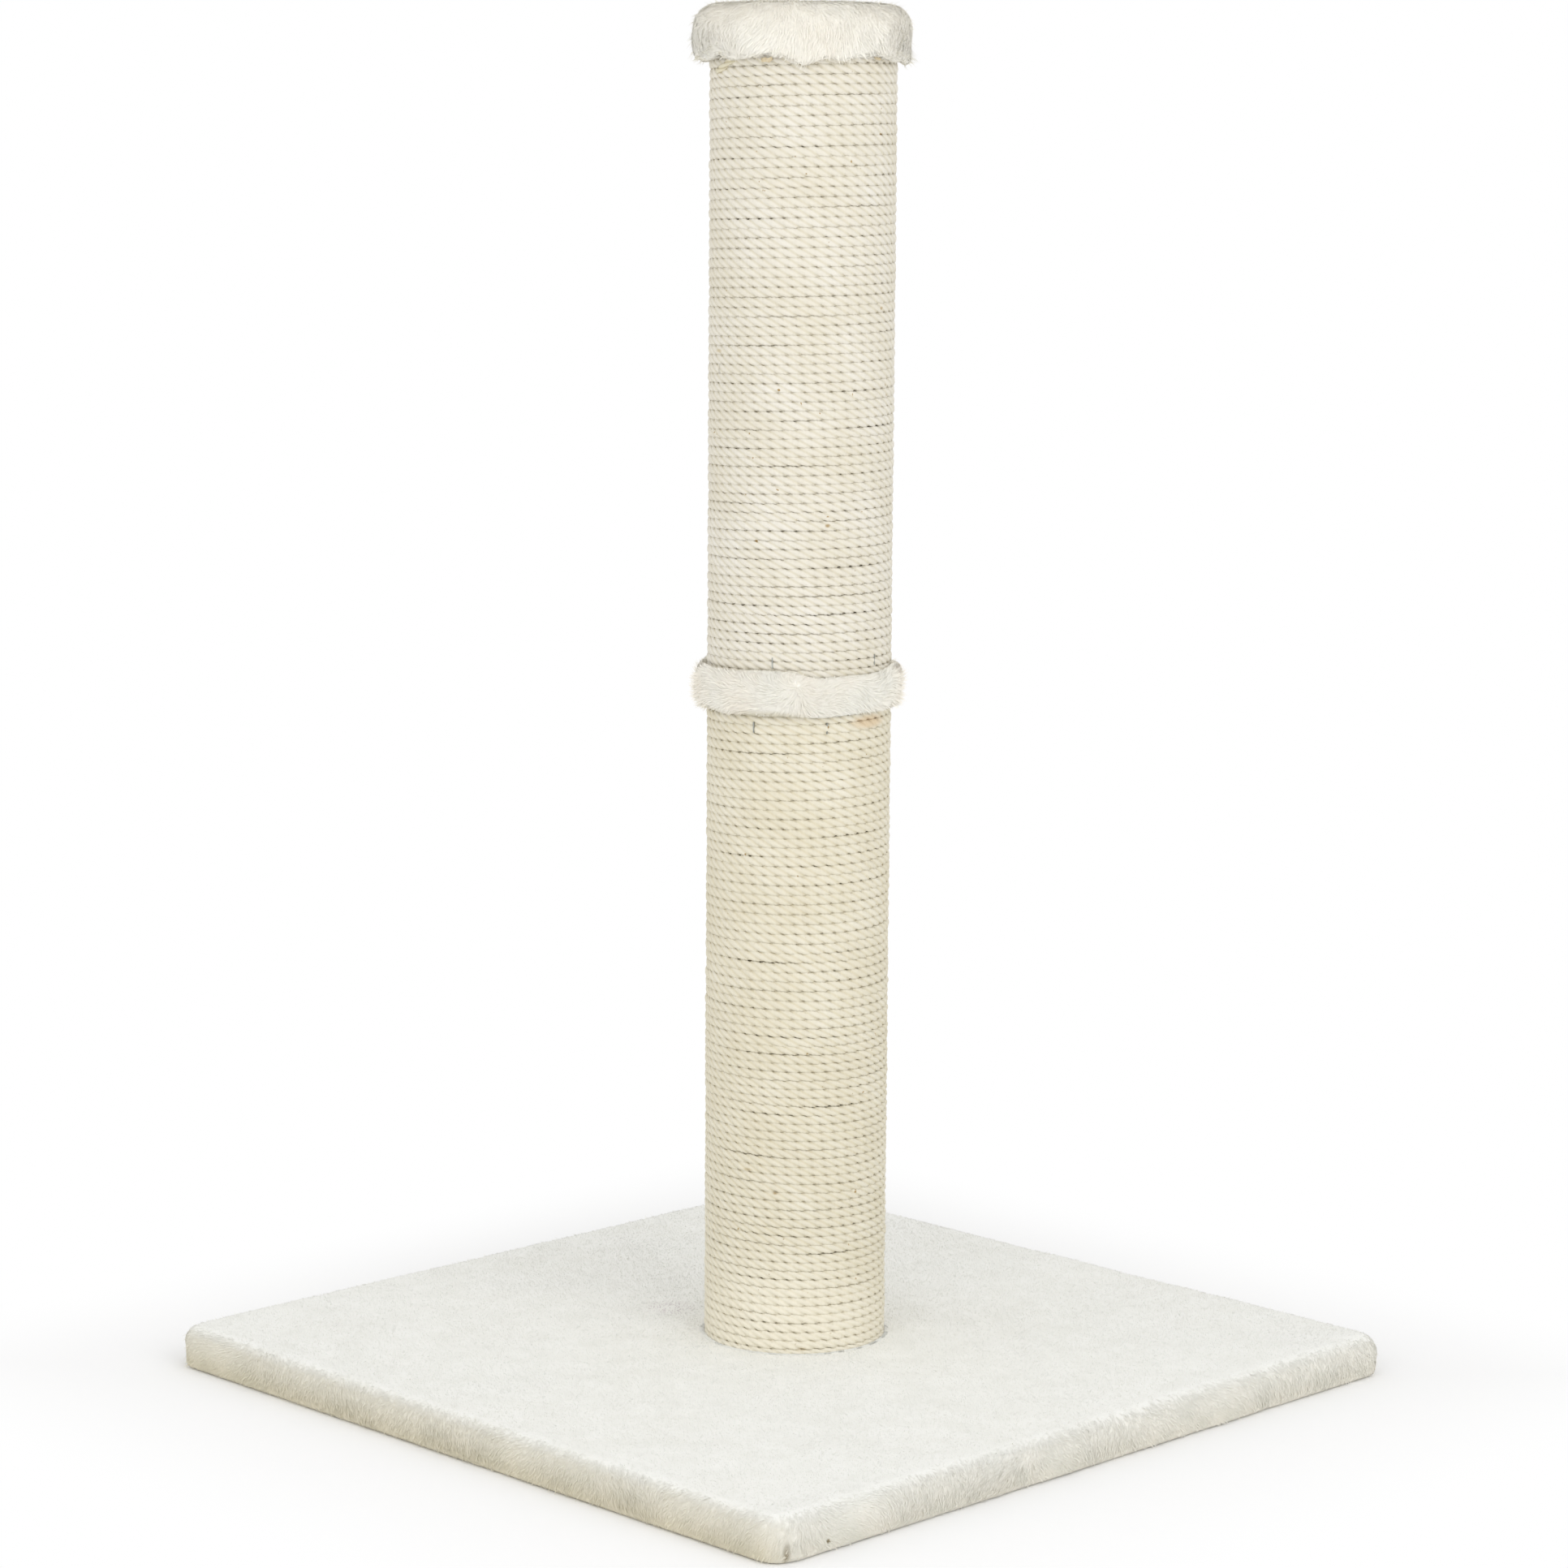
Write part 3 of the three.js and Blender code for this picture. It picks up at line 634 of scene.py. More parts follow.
class Coat(Enum):
    """Every finish on the post."""

    FUR = PileFinish("plush_fur", root="#F8F5EA", tip="#FDFCF6", warm="#FCF7ED", patch_scale=28.0)
    BAND_FUR = PileFinish(
        "band_fur", root="#EFECE1", tip="#F3F2EB", warm="#F6EEE2", patch_scale=34.0,
        stains_and_light=(
            # Painted shade: grey-beige patches along the band's lower fringe.
            StainAndPaintedLight((0.035, -0.050, 0.3865), (0.036, 0.030, 0.0062), "#CFC7AC", 0.75),
            StainAndPaintedLight((-0.020, -0.055, 0.3865), (0.034, 0.020, 0.0060), "#CFC7AC", 0.6),
            StainAndPaintedLight((0.064, 0.010, 0.3862), (0.020, 0.034, 0.0045), "#D8D0B8", 0.6),
        ),
    )
    BASE_FUR = PileFinish(
        "base_fur", root="#F3F3EE", tip="#F8F9F5", warm="#F6F5EF", side="#E9E5D9", shade="#DFD8C3",
        side_dull="#DEDCD0", shade_dull="#D2CCB6", lock_depth=0.15,
        stains_and_light=(
            # Painted shadow: a faint purple-grey patch on the top, left of the post's foot.
            StainAndPaintedLight((-0.0767, -0.0157, 0.0245), (0.021, 0.021, 0.03), "#E7DCE3", 0.8),
            StainAndPaintedLight((0.2390, -0.2270, 0.0225), (0.0022, 0.0022, 0.0022), "#8F8163", 0.8),
            StainAndPaintedLight((0.2490, -0.2126, 0.0067), (0.0017, 0.0017, 0.0017), "#857757", 0.9),
            # Painted shade: a dark line in the crease at the front corner.
            StainAndPaintedLight((0.2480, -0.2400, 0.0030), (0.0050, 0.0032, 0.0110), "#8E8062", 0.75),
        ),
    )
    SKIN = SkinFinish("plush_skin", low="#F1EEE4", high="#F6F3EC")
    BASE_SKIN = SkinFinish("base_skin", low="#F3F3EE", high="#F8F8F4", side="#E8E4D8", shade="#DDD6C0")
    LOWER_ROPE = RopeFinish(
        "lower_rope_fibre", pale="#EBE6D6", straw="#E2DBC6", groove_shade="#D6CCAE",
        stains_and_light=(
            StainAndPaintedLight((0.0595, 0.0095, 0.3835), (0.022, 0.019, 0.0054), "#DDC8A8", 0.85),
            # Painted light: the rope is paler round the foot of the post, as light thrown up from the base.
            StainAndPaintedLight((0.0430, -0.0323, 0.0220), (0.11, 0.11, 0.075), "#F6F0DF", 0.6),
            StainAndPaintedLight((0.0343, -0.0389, 0.1173), (0.0024, 0.0024, 0.0016), "#A98E5E", 0.85),
            StainAndPaintedLight((0.0462, -0.0285, 0.0267), (0.0035, 0.0035, 0.0016), "#B9A373", 0.6),
            StainAndPaintedLight((0.0185, -0.0460, 0.1291), (0.004, 0.004, 0.0015), "#C3AE80", 0.6),
        ),
    )
    UPPER_ROPE = RopeFinish(
        "upper_rope_fibre", pale="#ECE8DE", straw="#E4DECE", groove_shade="#D4CCB2",
        stains_and_light=(
            StainAndPaintedLight((0.0523, -0.0193, 0.4940), (0.0022, 0.0022, 0.0015), "#A98E5E", 0.85),
            StainAndPaintedLight((0.0571, 0.0171, 0.6125), (0.0022, 0.0022, 0.0013), "#B49A6B", 0.8),
            StainAndPaintedLight((-0.0095, -0.0455, 0.5885), (0.005, 0.005, 0.0015), "#C3AE80", 0.6),
        ),
    )
    TUCKED_ROPE = RopeFinish("tucked_rope_fibre", pale="#E3DDC8", straw="#D8D0B4", groove_shade="#B9AC86")
    BACKING = SkinFinish("plush_backing", low="#C9B994", high="#D9CBAE")
    BOARD = WoodFinish("fibreboard", low="#A98C66", high="#BCA17A", along=700.0, across=700.0)
    CARD = WoodFinish("cardboard", low="#B0916A", high="#BEA27C", along=60.0, across=260.0)
    PINE = WoodFinish("pine", low="#D2B384", high="#E2C89C", along=40.0, across=420.0)
    ZINC = ZincFinish()


class Wardrobe:
    """Builds each finish once and hands it out."""

    def __init__(self) -> None:
        """Starts with nothing built."""
        self._made: dict[Coat, bpy.types.Material] = {}

    def get(self, coat: Coat) -> bpy.types.Material:
        """Returns the material of a finish."""
        if coat not in self._made:
            self._made[coat] = coat.value.build()
        return self._made[coat]


WARDROBE = Wardrobe()


# ---------------------------------------------------------------- camera, light and floor


@dataclass(frozen=True)
class Viewpoint:
    """Where the picture is taken from."""

    place: tuple[float, float, float] = (1.6593, -1.6526, 0.6886)
    heading_deg: float = 135.115
    down_deg: float = 8.402
    roll_deg: float = 0.401
    lens_mm: float = 95.71
    sensor_mm: float = 36.0
    reach: float = 50.0

    def build(self) -> None:
        """Adds the camera and makes it the scene's own."""
        heading, down, roll = (math.radians(a) for a in (self.heading_deg, self.down_deg, self.roll_deg))
        ahead = Vector(
            (math.cos(heading) * math.cos(down), math.sin(heading) * math.cos(down), -math.sin(down))
        )
        right = ahead.cross(Vector((0, 0, 1))).normalized()
        above = right.cross(ahead)
        turned_right = right * math.cos(roll) + above * math.sin(roll)
        turned_above = above * math.cos(roll) - right * math.sin(roll)
        axes = Matrix((turned_right, turned_above, -ahead)).transposed().to_4x4()
        lens = bpy.data.cameras.new("camera")
        lens.lens = self.lens_mm
        lens.sensor_width = self.sensor_mm
        lens.clip_end = self.reach
        camera = bpy.data.objects.new("camera", lens)
        camera.matrix_world = Matrix.Translation(self.place) @ axes
        bpy.context.scene.collection.objects.link(camera)
        bpy.context.scene.camera = camera


@dataclass(frozen=True)
class Softbox:
    """One large square lamp, aimed at the middle of the post."""

    name: str
    place: tuple[float, float, float]
    size: float
    watts: float
    aim: tuple[float, float, float] = (0, 0, 0.3)

    def build(self) -> None:
        """Hangs the lamp."""
        lamp = bpy.data.lights.new(self.name, "AREA")
        lamp.size = self.size
        lamp.energy = self.watts
        holder = bpy.data.objects.new(self.name, lamp)
        holder.location = self.place
        aim = Vector(self.aim) - Vector(self.place)
        holder.rotation_euler = aim.to_track_quat("-Z", "Y").to_euler()
        bpy.context.scene.collection.objects.link(holder)


@dataclass
class Studio:
    """A pale floor under soft, even light, with white behind."""

    floor_half: float = 6.0
    clear_half: float = 0.252
    white_half: float = 0.42
    sky_strength: float = 0.79
    lamps: tuple[Softbox, ...] = (
        Softbox("key", (2.8, -0.5, 1.7), 2.2, 22.5),
        Softbox("front", (1.3, -2.8, 1.3), 2.4, 17.0),
        Softbox("left", (-1.7, -2.5, 1.2), 2.2, 6.5),
    )

    def build(self) -> None:
        """Adds the floor, the world and the lamps, and sets the plain view transform."""
        bpy.context.scene.view_settings.view_transform = "Standard"
        self._floor()
        self._world()
        for lamp in self.lamps:
            lamp.build()

    @staticmethod
    def _seen(sheet: Sheet) -> bpy.types.NodeSocket:
        """Returns a socket that is one on rays from the camera, mirrors and glass."""
        path = sheet.add("ShaderNodeLightPath")
        direct = sheet.math("MAXIMUM", path.outputs["Is Camera Ray"], path.outputs["Is Glossy Ray"])
        return sheet.math("MAXIMUM", direct, path.outputs["Is Transmission Ray"])

    def _floor(self) -> None:
        """Lays the floor, which fades to plain white away from the post."""
        bpy.ops.object.select_all(action="DESELECT")
        bpy.ops.mesh.primitive_grid_add(x_subdivisions=24, y_subdivisions=24, size=2 * self.floor_half)
        floor = Bench.take("floor")
        material = bpy.data.materials.new("floor")
        material.use_nodes = True
        sheet = Sheet(material.node_tree)
        place = sheet.add("ShaderNodeTexCoord").outputs["Object"]
        apart = sheet.add("ShaderNodeSeparateXYZ", {0: place})
        sideways = (sheet.math("ABSOLUTE", apart.outputs[i]) for i in range(2))
        away = sheet.math("MAXIMUM", *sideways)
        fade = sheet.ramp(away, self.clear_half, self.white_half, smooth=True)
        matt = sheet.add("ShaderNodeBsdfDiffuse", {"Color": WHITE})
        white = sheet.add("ShaderNodeEmission", {"Strength": 1.0})
        share = sheet.math("MULTIPLY", self._seen(sheet), fade)
        blend = sheet.add("ShaderNodeMixShader", {0: share, 1: matt.outputs[0], 2: white.outputs[0]})
        sheet.add("ShaderNodeOutputMaterial", {"Surface": blend.outputs[0]})
        Bench.dress(floor, material)

    def _world(self) -> None:
        """Sets the even light that comes from all round, and white where it is seen."""
        world = bpy.data.worlds.new("studio")
        bpy.context.scene.world = world
        world.use_nodes = True
        sheet = Sheet(world.node_tree)
        light, seen = (
            sheet.add("ShaderNodeBackground", {"Color": WHITE, "Strength": strength}).outputs[0]
            for strength in (self.sky_strength, 1.0)
        )
        blend = sheet.add("ShaderNodeMixShader", {0: self._seen(sheet), 1: light, 2: seen})
        sheet.add("ShaderNodeOutputWorld", {"Surface": blend.outputs[0]})


# ---------------------------------------------------------------- the wound rope


@dataclass(frozen=True)
class Lay:
    """How the rope is made: three strands, laid to the right round each other."""

    strands: int = 3
    length: float = 21.6 * MM
    strand_offset: float = 0.46
    bow: float = 1.4 * MM
    front_valley: float = 0.8 * MM
    side_valley: float = 0.85 * MM
    lumps: float = 0.14 * MM
    points_per_strand: int = 6
    step: float = 2.4 * MM

    @property
    def points(self) -> int:
        """Points round one section."""
        return self.strands * self.points_per_strand

    def hollows(self) -> np.ndarray:
        """Returns how deep the section lies at each of its points: 0 on a strand's crest, 1 between two."""
        turn = np.arange(self.points) / self.points * 2 * math.pi
        half = math.pi / self.strands
        off_crest = np.abs((turn % (2 * half)) - half)
        strand = 1 - self.strand_offset
        reach = self.strand_offset * np.cos(off_crest)
        reach = reach + np.sqrt(strand**2 - (self.strand_offset * np.sin(off_crest)) ** 2)
        return (1 - reach) / (1 - reach.min())


def round_post(
    axis: Vector, angle: np.ndarray, coil: np.ndarray, heights: np.ndarray
) -> dict[str, np.ndarray]:
    """Works out a rope's middle line round the post.

    Args:
        axis: a point on the post's axis.
        angle: the angle round the post, at each point of the line.
        coil: the distance from the axis.
        heights: the height.

    Returns:
        Arrays by name: centres, and the section's two directions, outward and upward.
    """
    outward = np.stack([np.cos(angle), np.sin(angle), np.zeros_like(angle)], axis=1)
    centres = outward * coil[:, None] + np.array([axis.x, axis.y, 0])
    centres[:, 2] = heights
    return {"centres": centres, "outward": outward, "upward": np.tile([0.0, 0.0, 1.0], (len(angle), 1))}


@dataclass
class LaidRope:
    """A three-strand rope along any path.

    The twist, the girth, the strands' tones and their lumps each wander with a spread of their own, from
    one turning point to the next.
    """

    name: str
    radius: float
    seed: int
    twist_spread: float = 0.28
    twist_step: float = 50 * MM
    girth_spread: float = 0.016
    girth_step: float = 30 * MM
    tone_spread: float = 0.3
    tone_step: float = 50 * MM
    lump_step: float = 10 * MM
    lay: Lay = field(default_factory=Lay)

    def build(
        self,
        centres: np.ndarray,
        outward: np.ndarray,
        upward: np.ndarray,
        travelled: np.ndarray,
        squeeze: np.ndarray,
        part: slice = slice(None),
    ) -> bpy.types.Object:
        """Sweeps the strands along a path.

        Args:
            centres: the rope's middle line, one point to a row.
            outward: the section's first direction at each point.
            upward: the section's second direction at each point.
            travelled: the length of rope up to each point.
            squeeze: the section's height as a share of its width, at each point.
            part: the stretch of the path to make.

        Returns:
            The piece, closed at both ends.
        """
        rng = np.random.default_rng(self.seed)
        count = self.lay.points
        twist = -2 * math.pi * travelled / self.lay.length
        twist = twist + self.twist_spread * wander(travelled, self.twist_step, rng)
        girth = self.radius * (1 + self.girth_spread * wander(travelled, self.girth_step, rng))
        tones = np.stack([wander(travelled, self.tone_step, rng) for _ in range(self.lay.strands)], axis=1)
        lumps = np.stack([wander(travelled, self.lump_step, rng) for _ in range(self.lay.strands)], axis=1)
        strand_of = np.arange(count) // self.lay.points_per_strand
        angle = twist[:, None] + np.arange(count)[None, :] / count * 2 * math.pi
        hollow = self.lay.hollows()[None, :]
        front, across = np.cos(angle), np.sin(angle)
        bow = self.lay.bow
        back = 2 * girth[:, None] - bow
        out = girth[:, None] - bow + front * np.where(front > 0, bow, back)
        out = out - self.lay.front_valley * hollow * np.sqrt(np.clip(front, 0, 1))
        out = out + self.lay.lumps * lumps[:, strand_of] * np.clip(front, 0, 1) * (1 - hollow)
        over = across * (girth * squeeze)[:, None] - self.lay.side_valley * hollow * across
        points = centres[:, None, :] + out[..., None] * outward[:, None, :]
        points = points + over[..., None] * upward[:, None, :]
        points, travelled, tones = points[part], travelled[part], tones[part]
        rings = len(points)
        ring = np.arange(rings - 1)[:, None] * count
        side = np.arange(count)[None, :]
        ahead = (side + 1) % count
        quads = np.stack([ring + side, ring + ahead, ring + count + ahead, ring + count + side], axis=-1)
        quads = quads.reshape(-1, 4)[:, ::-1]
        first = np.arange(count)[None, :]
        last = np.arange(count)[None, ::-1] + (rings - 1) * count
        piece = Bench.mesh(self.name, points.reshape(-1, 3), [quads, first, last])
        past_valley = np.arange(count) % self.lay.points_per_strand / self.lay.points_per_strand
        crest = 1 - np.abs(past_valley * 2 - 1)
        Bench.mark(piece, "crest", np.tile(crest, rings))
        Bench.mark(piece, "strand_tone", (0.5 + self.tone_spread * tones[:, strand_of]).ravel())
        self._unroll(piece, travelled)
        Bench.smooth(piece)
        return piece

    def _unroll(self, piece: bpy.types.Object, travelled: np.ndarray) -> None:
        """Gives the rope its lay coordinates: the length along it and the way round its section."""
        count, rings = self.lay.points, len(travelled)
        width = 2 * math.pi * self.radius / count
        along = np.repeat(travelled, count).reshape(rings, count)
        u = np.stack([along[:-1], along[:-1], along[1:], along[1:]], axis=-1).reshape(-1, 4)
        column = np.broadcast_to(np.arange(count), (rings - 1, count)) * width
        v = np.stack([column, column + width, column + width, column], axis=-1).reshape(-1, 4)
        flat = np.stack([u[:, ::-1], v[:, ::-1]], axis=-1).reshape(-1, 2)
        ends = np.zeros((2 * count, 2))
        layer = piece.data.uv_layers.new(name="lay")
        layer.uv.foreach_set("vector", np.concatenate([flat, ends]).astype(np.float32).ravel())


@dataclass
class RopeWinding:
    """The rope on one tube: one unbroken right-hand helix from end to end.

    pitches and tilts give the winding's spacing and slope at heights over the section's foot, because
    a hand-guided winding is never quite even. A positive tilt lifts the turns on the right. The first turn
    lies level and steps up at the back, in the last fifth of its way round; settling is how many turns it
    takes to become an even helix. press is the rope's height as a share of the room that its turn has, and
    edge the room at either end over which the turns come to lie level.
    """

    node: str
    coat: Coat
    pitches: tuple[tuple[float, float], ...]
    tilts: tuple[tuple[float, float], ...]
    seed: int
    rope_radius: float = 2.85 * MM
    press: float = 1.235
    facing_deg: float = -45.1
    start_deg: float = 171.0
    settling: float = 22.0
    step_up: float = 0.8
    edge: float = 12 * MM
    rise_spread: float = 0.18 * MM
    rise_step: float = 32 * MM
    coil_spread: float = 0.1 * MM
    coil_step: float = 40 * MM
    end_share: float = 0.93
    samples: int = 4000
    sink: float = 0.0
    parts: int = 2

    def path(self) -> dict[str, np.ndarray]:
        """Works out the rope's middle line.

        Returns:
            Arrays by name: centres, outward, upward, travelled and squeeze.
        """
        low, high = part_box(self.node)
        axis = (low + high) / 2
        coil = (high.x - low.x) / 2 - self.rope_radius
        half = self.rope_radius * self.end_share
        heights = np.linspace(low.z + half - self.sink, high.z - half, self.samples)
        over = (heights - low.z) / MM
        pitch = np.interp(over, *zip(*self.pitches)) * MM
        turns = np.concatenate([[0], np.cumsum(np.diff(heights) / pitch[1:])])
        angle = np.arange(0, turns[-1] * 2 * math.pi, Lay().step / coil)
        turned = angle / (2 * math.pi)
        level = ease(turned % 1, self.step_up, 1.0) - turned % 1
        rise = np.interp(turned + level * (1 - ease(turned, 0, self.settling)), turns, heights)
        squeeze = np.interp(rise, heights, pitch) / 2 * self.press / self.rope_radius
        travelled = angle * coil
        angle = angle + math.radians(self.start_deg)
        rng = np.random.default_rng(self.seed)
        over = (rise - low.z) / MM
        ends = np.clip(np.minimum(rise - heights[0], heights[-1] - rise) / self.edge, 0, 1)
        facing = angle - math.radians(self.facing_deg)
        rise = rise + ends * np.interp(over, *zip(*self.tilts)) * MM * np.sin(facing)
        rise = rise + ends * self.rise_spread * wander(travelled, self.rise_step, rng)
        coil = coil + self.coil_spread * wander(travelled, self.coil_step, rng)
        return {**round_post(axis, angle, coil, rise), "travelled": travelled, "squeeze": squeeze}

    def build(self) -> None:
        """Lays the rope in pieces, each a stretch of the one helix."""
        path = self.path()
        cuts = np.linspace(0, len(path["travelled"]) - 1, self.parts + 1).astype(int)
        made = []
        for number, (start, end) in enumerate(zip(cuts, cuts[1:]), 1):
            rope = LaidRope(f"{self.node}_winding_{number}", self.rope_radius, self.seed)
            piece = rope.build(**path, part=slice(start, end + 1))
            wear(piece, self.coat)
            made.append(piece)
        for piece in made:
            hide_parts(self.node)
        LOG.info("%s: %.1f m of rope", self.node, path["travelled"][-1])


# ---------------------------------------------------------------- plush


def ripple(points: np.ndarray, size: float, seed: int) -> np.ndarray:
    """Makes a soft random relief in space with a spread of about one.

    Args:
        points: the places at which it is read, three numbers to a row.
        size: the distance from one swelling to the next.
        seed: picks one of many unlike reliefs.

    Returns:
        One value for each place.
    """
    rng = np.random.default_rng(seed)
    waves = 9
    ways = unit(rng.normal(size=(waves, 3))) * rng.uniform(0.6, 1.5, (waves, 1)) * 2 * math.pi / size
    phases = rng.uniform(0, 2 * math.pi, waves)
    return np.sin(points @ ways.T + phases).sum(axis=1) / math.sqrt(waves / 2)


def ease(values: np.ndarray, start: float, end: float) -> np.ndarray:
    """Rises smoothly from 0 at start to 1 at end."""
    share = np.clip((values - start) / (end - start), 0, 1)
    return share * share * (3 - 2 * share)


def laid(ways: np.ndarray, normals: np.ndarray) -> np.ndarray:
    """Lays directions down along the surface whose normals are given."""
    return unit(ways - normals * (ways * normals).sum(axis=1, keepdims=True))


def everywhere(points: np.ndarray, _normals: np.ndarray) -> np.ndarray:
    """Returns one at every point."""
    return np.ones(len(points))


@dataclass
class Pile:
    """Fibres that rise out of a skin, turn over at a knee and lie along it, gathered into locks.

    depth is how high the topmost of them lie, stray how far they wander sideways, wild the share of them
    that stand up, gather how far the tips of one lock draw together, and under the share that is wide,
    low undercoat, under_width times as wide as the rest.
    """

    name: str
    count: int
    length: float
    width: float
    seed: int
    depth: float = 1.3 * MM
    stray: float = 0.16
    wild: float = 0.04
    lock: float = 5.0 * MM
    gather: float = 0.2
    swirl: float = 0.4
    swirl_size: float = 22 * MM
    sink: float = 0.2 * MM
    knee: float = 0.22
    under: float = 0.0
    under_width: float = 2.4
    shortest: float = 0.12

    def grow(
        self,
        skin: bpy.types.Object,
        comb: Field,
        thickness: Field,
        reach: Field = everywhere,
        lowest: Field | None = None,
        highest: Field | None = None,
    ) -> bpy.types.Object:
        """Plants the fibres.

        Args:
            skin: the mesh that they stand on.
            comb: gives the direction of the lay at points with normals.
            thickness: gives how thickly they stand there, from 0 to 1.
            reach: gives their length there as a share of the pile's own.
            lowest: gives the height below which they are trimmed off.
            highest: gives the height above which they are trimmed off.

        Returns:
            The piece.
        """
        rng = np.random.default_rng(self.seed)
        roots, normals = self._scatter(skin, thickness, rng)
        lay = self._swirled(comb(roots, normals), roots, normals)
        length = self.length * reach(roots, normals) * rng.uniform(0.7, 1.12, self.count)
        heading = unit(lay + laid(rng.normal(size=roots.shape), normals) * self.stray)
        low = (rng.uniform(size=self.count) < self.under)[:, None]
        wild = (rng.uniform(size=self.count) < self.wild)[:, None] & ~low
        heading = unit(np.where(wild, heading + normals * rng.uniform(0.3, 0.9, (self.count, 1)), heading))
        lift = np.where(low, rng.uniform(0.04, 0.2, low.shape), rng.uniform(0.25, 1.0, low.shape))
        rise = normals * self.depth * lift
        tips = roots + rise + heading * length[:, None]
        lock = self._locks(roots)
        members = np.bincount(lock).astype(float)
        middle = np.stack([np.bincount(lock, tips[:, i]) / members for i in range(3)], axis=1)
        draw = (middle[lock] - tips) * self.gather * rng.uniform(0.5, 1.0, (self.count, 1))
        tips += draw - normals * (draw * normals).sum(axis=1, keepdims=True)
        tips = np.where(wild, tips, self._settled(skin, tips, np.linalg.norm(rise, axis=1)))
        floor = np.full(self.count, 0.2 * MM) if lowest is None else lowest(roots, normals)
        tips = self._trimmed(roots, tips, floor, -1)
        if highest is not None:
            tips = self._trimmed(roots, tips, highest(roots, normals), 1)
        tone = 0.5 * rng.uniform(size=members.size)[lock] + 0.5 * rng.uniform(size=self.count)
        width = self.width * np.where(low, self.under_width, 1.0)
        return self._fibres(roots, tips, rise, normals, tone, width, rng)

    def _trimmed(self, roots: np.ndarray, tips: np.ndarray, limit: np.ndarray, way: int) -> np.ndarray:
        """Cuts back the fibres that pass a height, upwards (1) or downwards (-1)."""
        travel = (tips[:, 2] - roots[:, 2]) * way
        room = (limit - roots[:, 2]) * way
        share = np.where(travel > room, np.clip(room / np.maximum(travel, 1e-9), self.shortest, 1), 1)
        return roots + (tips - roots) * share[:, None]

    @staticmethod
    def _settled(skin: bpy.types.Object, tips: np.ndarray, heights: np.ndarray) -> np.ndarray:
        """Brings tips to their heights over the skin, so that long fibres follow its curves."""
        tree = BVHTree.FromObject(skin, bpy.context.evaluated_depsgraph_get())
        near = [tree.find_nearest(tip) for tip in tips.tolist()]
        spots = np.array([spot for spot, *_ in near])
        facing = np.array([normal for _, normal, *_ in near])
        return spots + facing * heights[:, None]

    def _scatter(
        self, skin: bpy.types.Object, thickness: Field, rng: np.random.Generator
    ) -> tuple[np.ndarray, np.ndarray]:
        """Picks the fibres' roots, evenly by area and by the wanted thickness."""
        points, normals = Bench.points(skin), Bench.normals(skin)
        skin.data.calc_loop_triangles()
        corners = np.empty(len(skin.data.loop_triangles) * 3, np.int32)
        skin.data.loop_triangles.foreach_get("vertices", corners)
        corners = corners.reshape(-1, 3)
        a, b, c = (points[corners[:, i]] for i in range(3))
        across = np.cross(b - a, c - a)
        weight = np.linalg.norm(across, axis=1) * thickness((a + b + c) / 3, unit(across))
        share = np.cumsum(weight) / weight.sum()
        chosen = np.searchsorted(share, rng.uniform(size=self.count))
        first, second = rng.uniform(size=(2, self.count, 1))
        fold = first + second > 1
        first, second = np.where(fold, 1 - first, first), np.where(fold, 1 - second, second)
        shares = (1 - first - second, first, second)
        picked = corners[chosen]
        roots = sum(points[picked[:, i]] * shares[i] for i in range(3))
        facing = sum(normals[picked[:, i]] * shares[i] for i in range(3))
        return roots, unit(facing)

    def _swirled(self, lay: np.ndarray, roots: np.ndarray, normals: np.ndarray) -> np.ndarray:
        """Turns the lay a little to either side, in slow drifts over the surface."""
        drift = (ripple(roots, self.swirl_size * 2, self.seed + 5) * self.swirl)[:, None]
        return lay * np.cos(drift) + np.cross(normals, lay) * np.sin(drift)

    def _locks(self, roots: np.ndarray) -> np.ndarray:
        """Returns the number of the lock that each fibre belongs to."""
        cells = np.floor(roots / self.lock)
        best = np.full(len(roots), np.inf)
        owner = np.zeros_like(cells)
        for shift in np.ndindex(3, 3, 3):
            near = cells + np.array(shift) - 1
            spot = np.stack([scramble(near, self.seed + i) for i in range(3)], axis=1)
            distance = np.linalg.norm((near + spot) * self.lock - roots, axis=1)
            closer = distance < best
            best = np.where(closer, distance, best)
            owner[closer] = near[closer]
        return np.unique(owner, axis=0, return_inverse=True)[1].ravel()

    def _fibres(
        self,
        roots: np.ndarray,
        tips: np.ndarray,
        rise: np.ndarray,
        normals: np.ndarray,
        tone: np.ndarray,
        width: np.ndarray,
        rng: np.random.Generator,
    ) -> bpy.types.Object:
        """Makes each fibre a slim blade that lies flat over its knee."""
        heading = unit(tips - roots)
        side = unit(np.cross(heading, normals))
        side = np.where((np.cross(side, heading) * normals).sum(axis=1, keepdims=True) < 0, -side, side)
        half = side * width / 2
        knee = roots + rise + (tips - roots - rise) * self.knee
        sunk = roots - normals * self.sink
        rows = [sunk - half, sunk + half, knee - half, knee + half, tips]
        heights = [0.0, 0.0, self.knee, self.knee, 1.0]
        return self._planted(rows, [[[2, 3, 4]], [[0, 1, 3, 2]]], heights, tone)

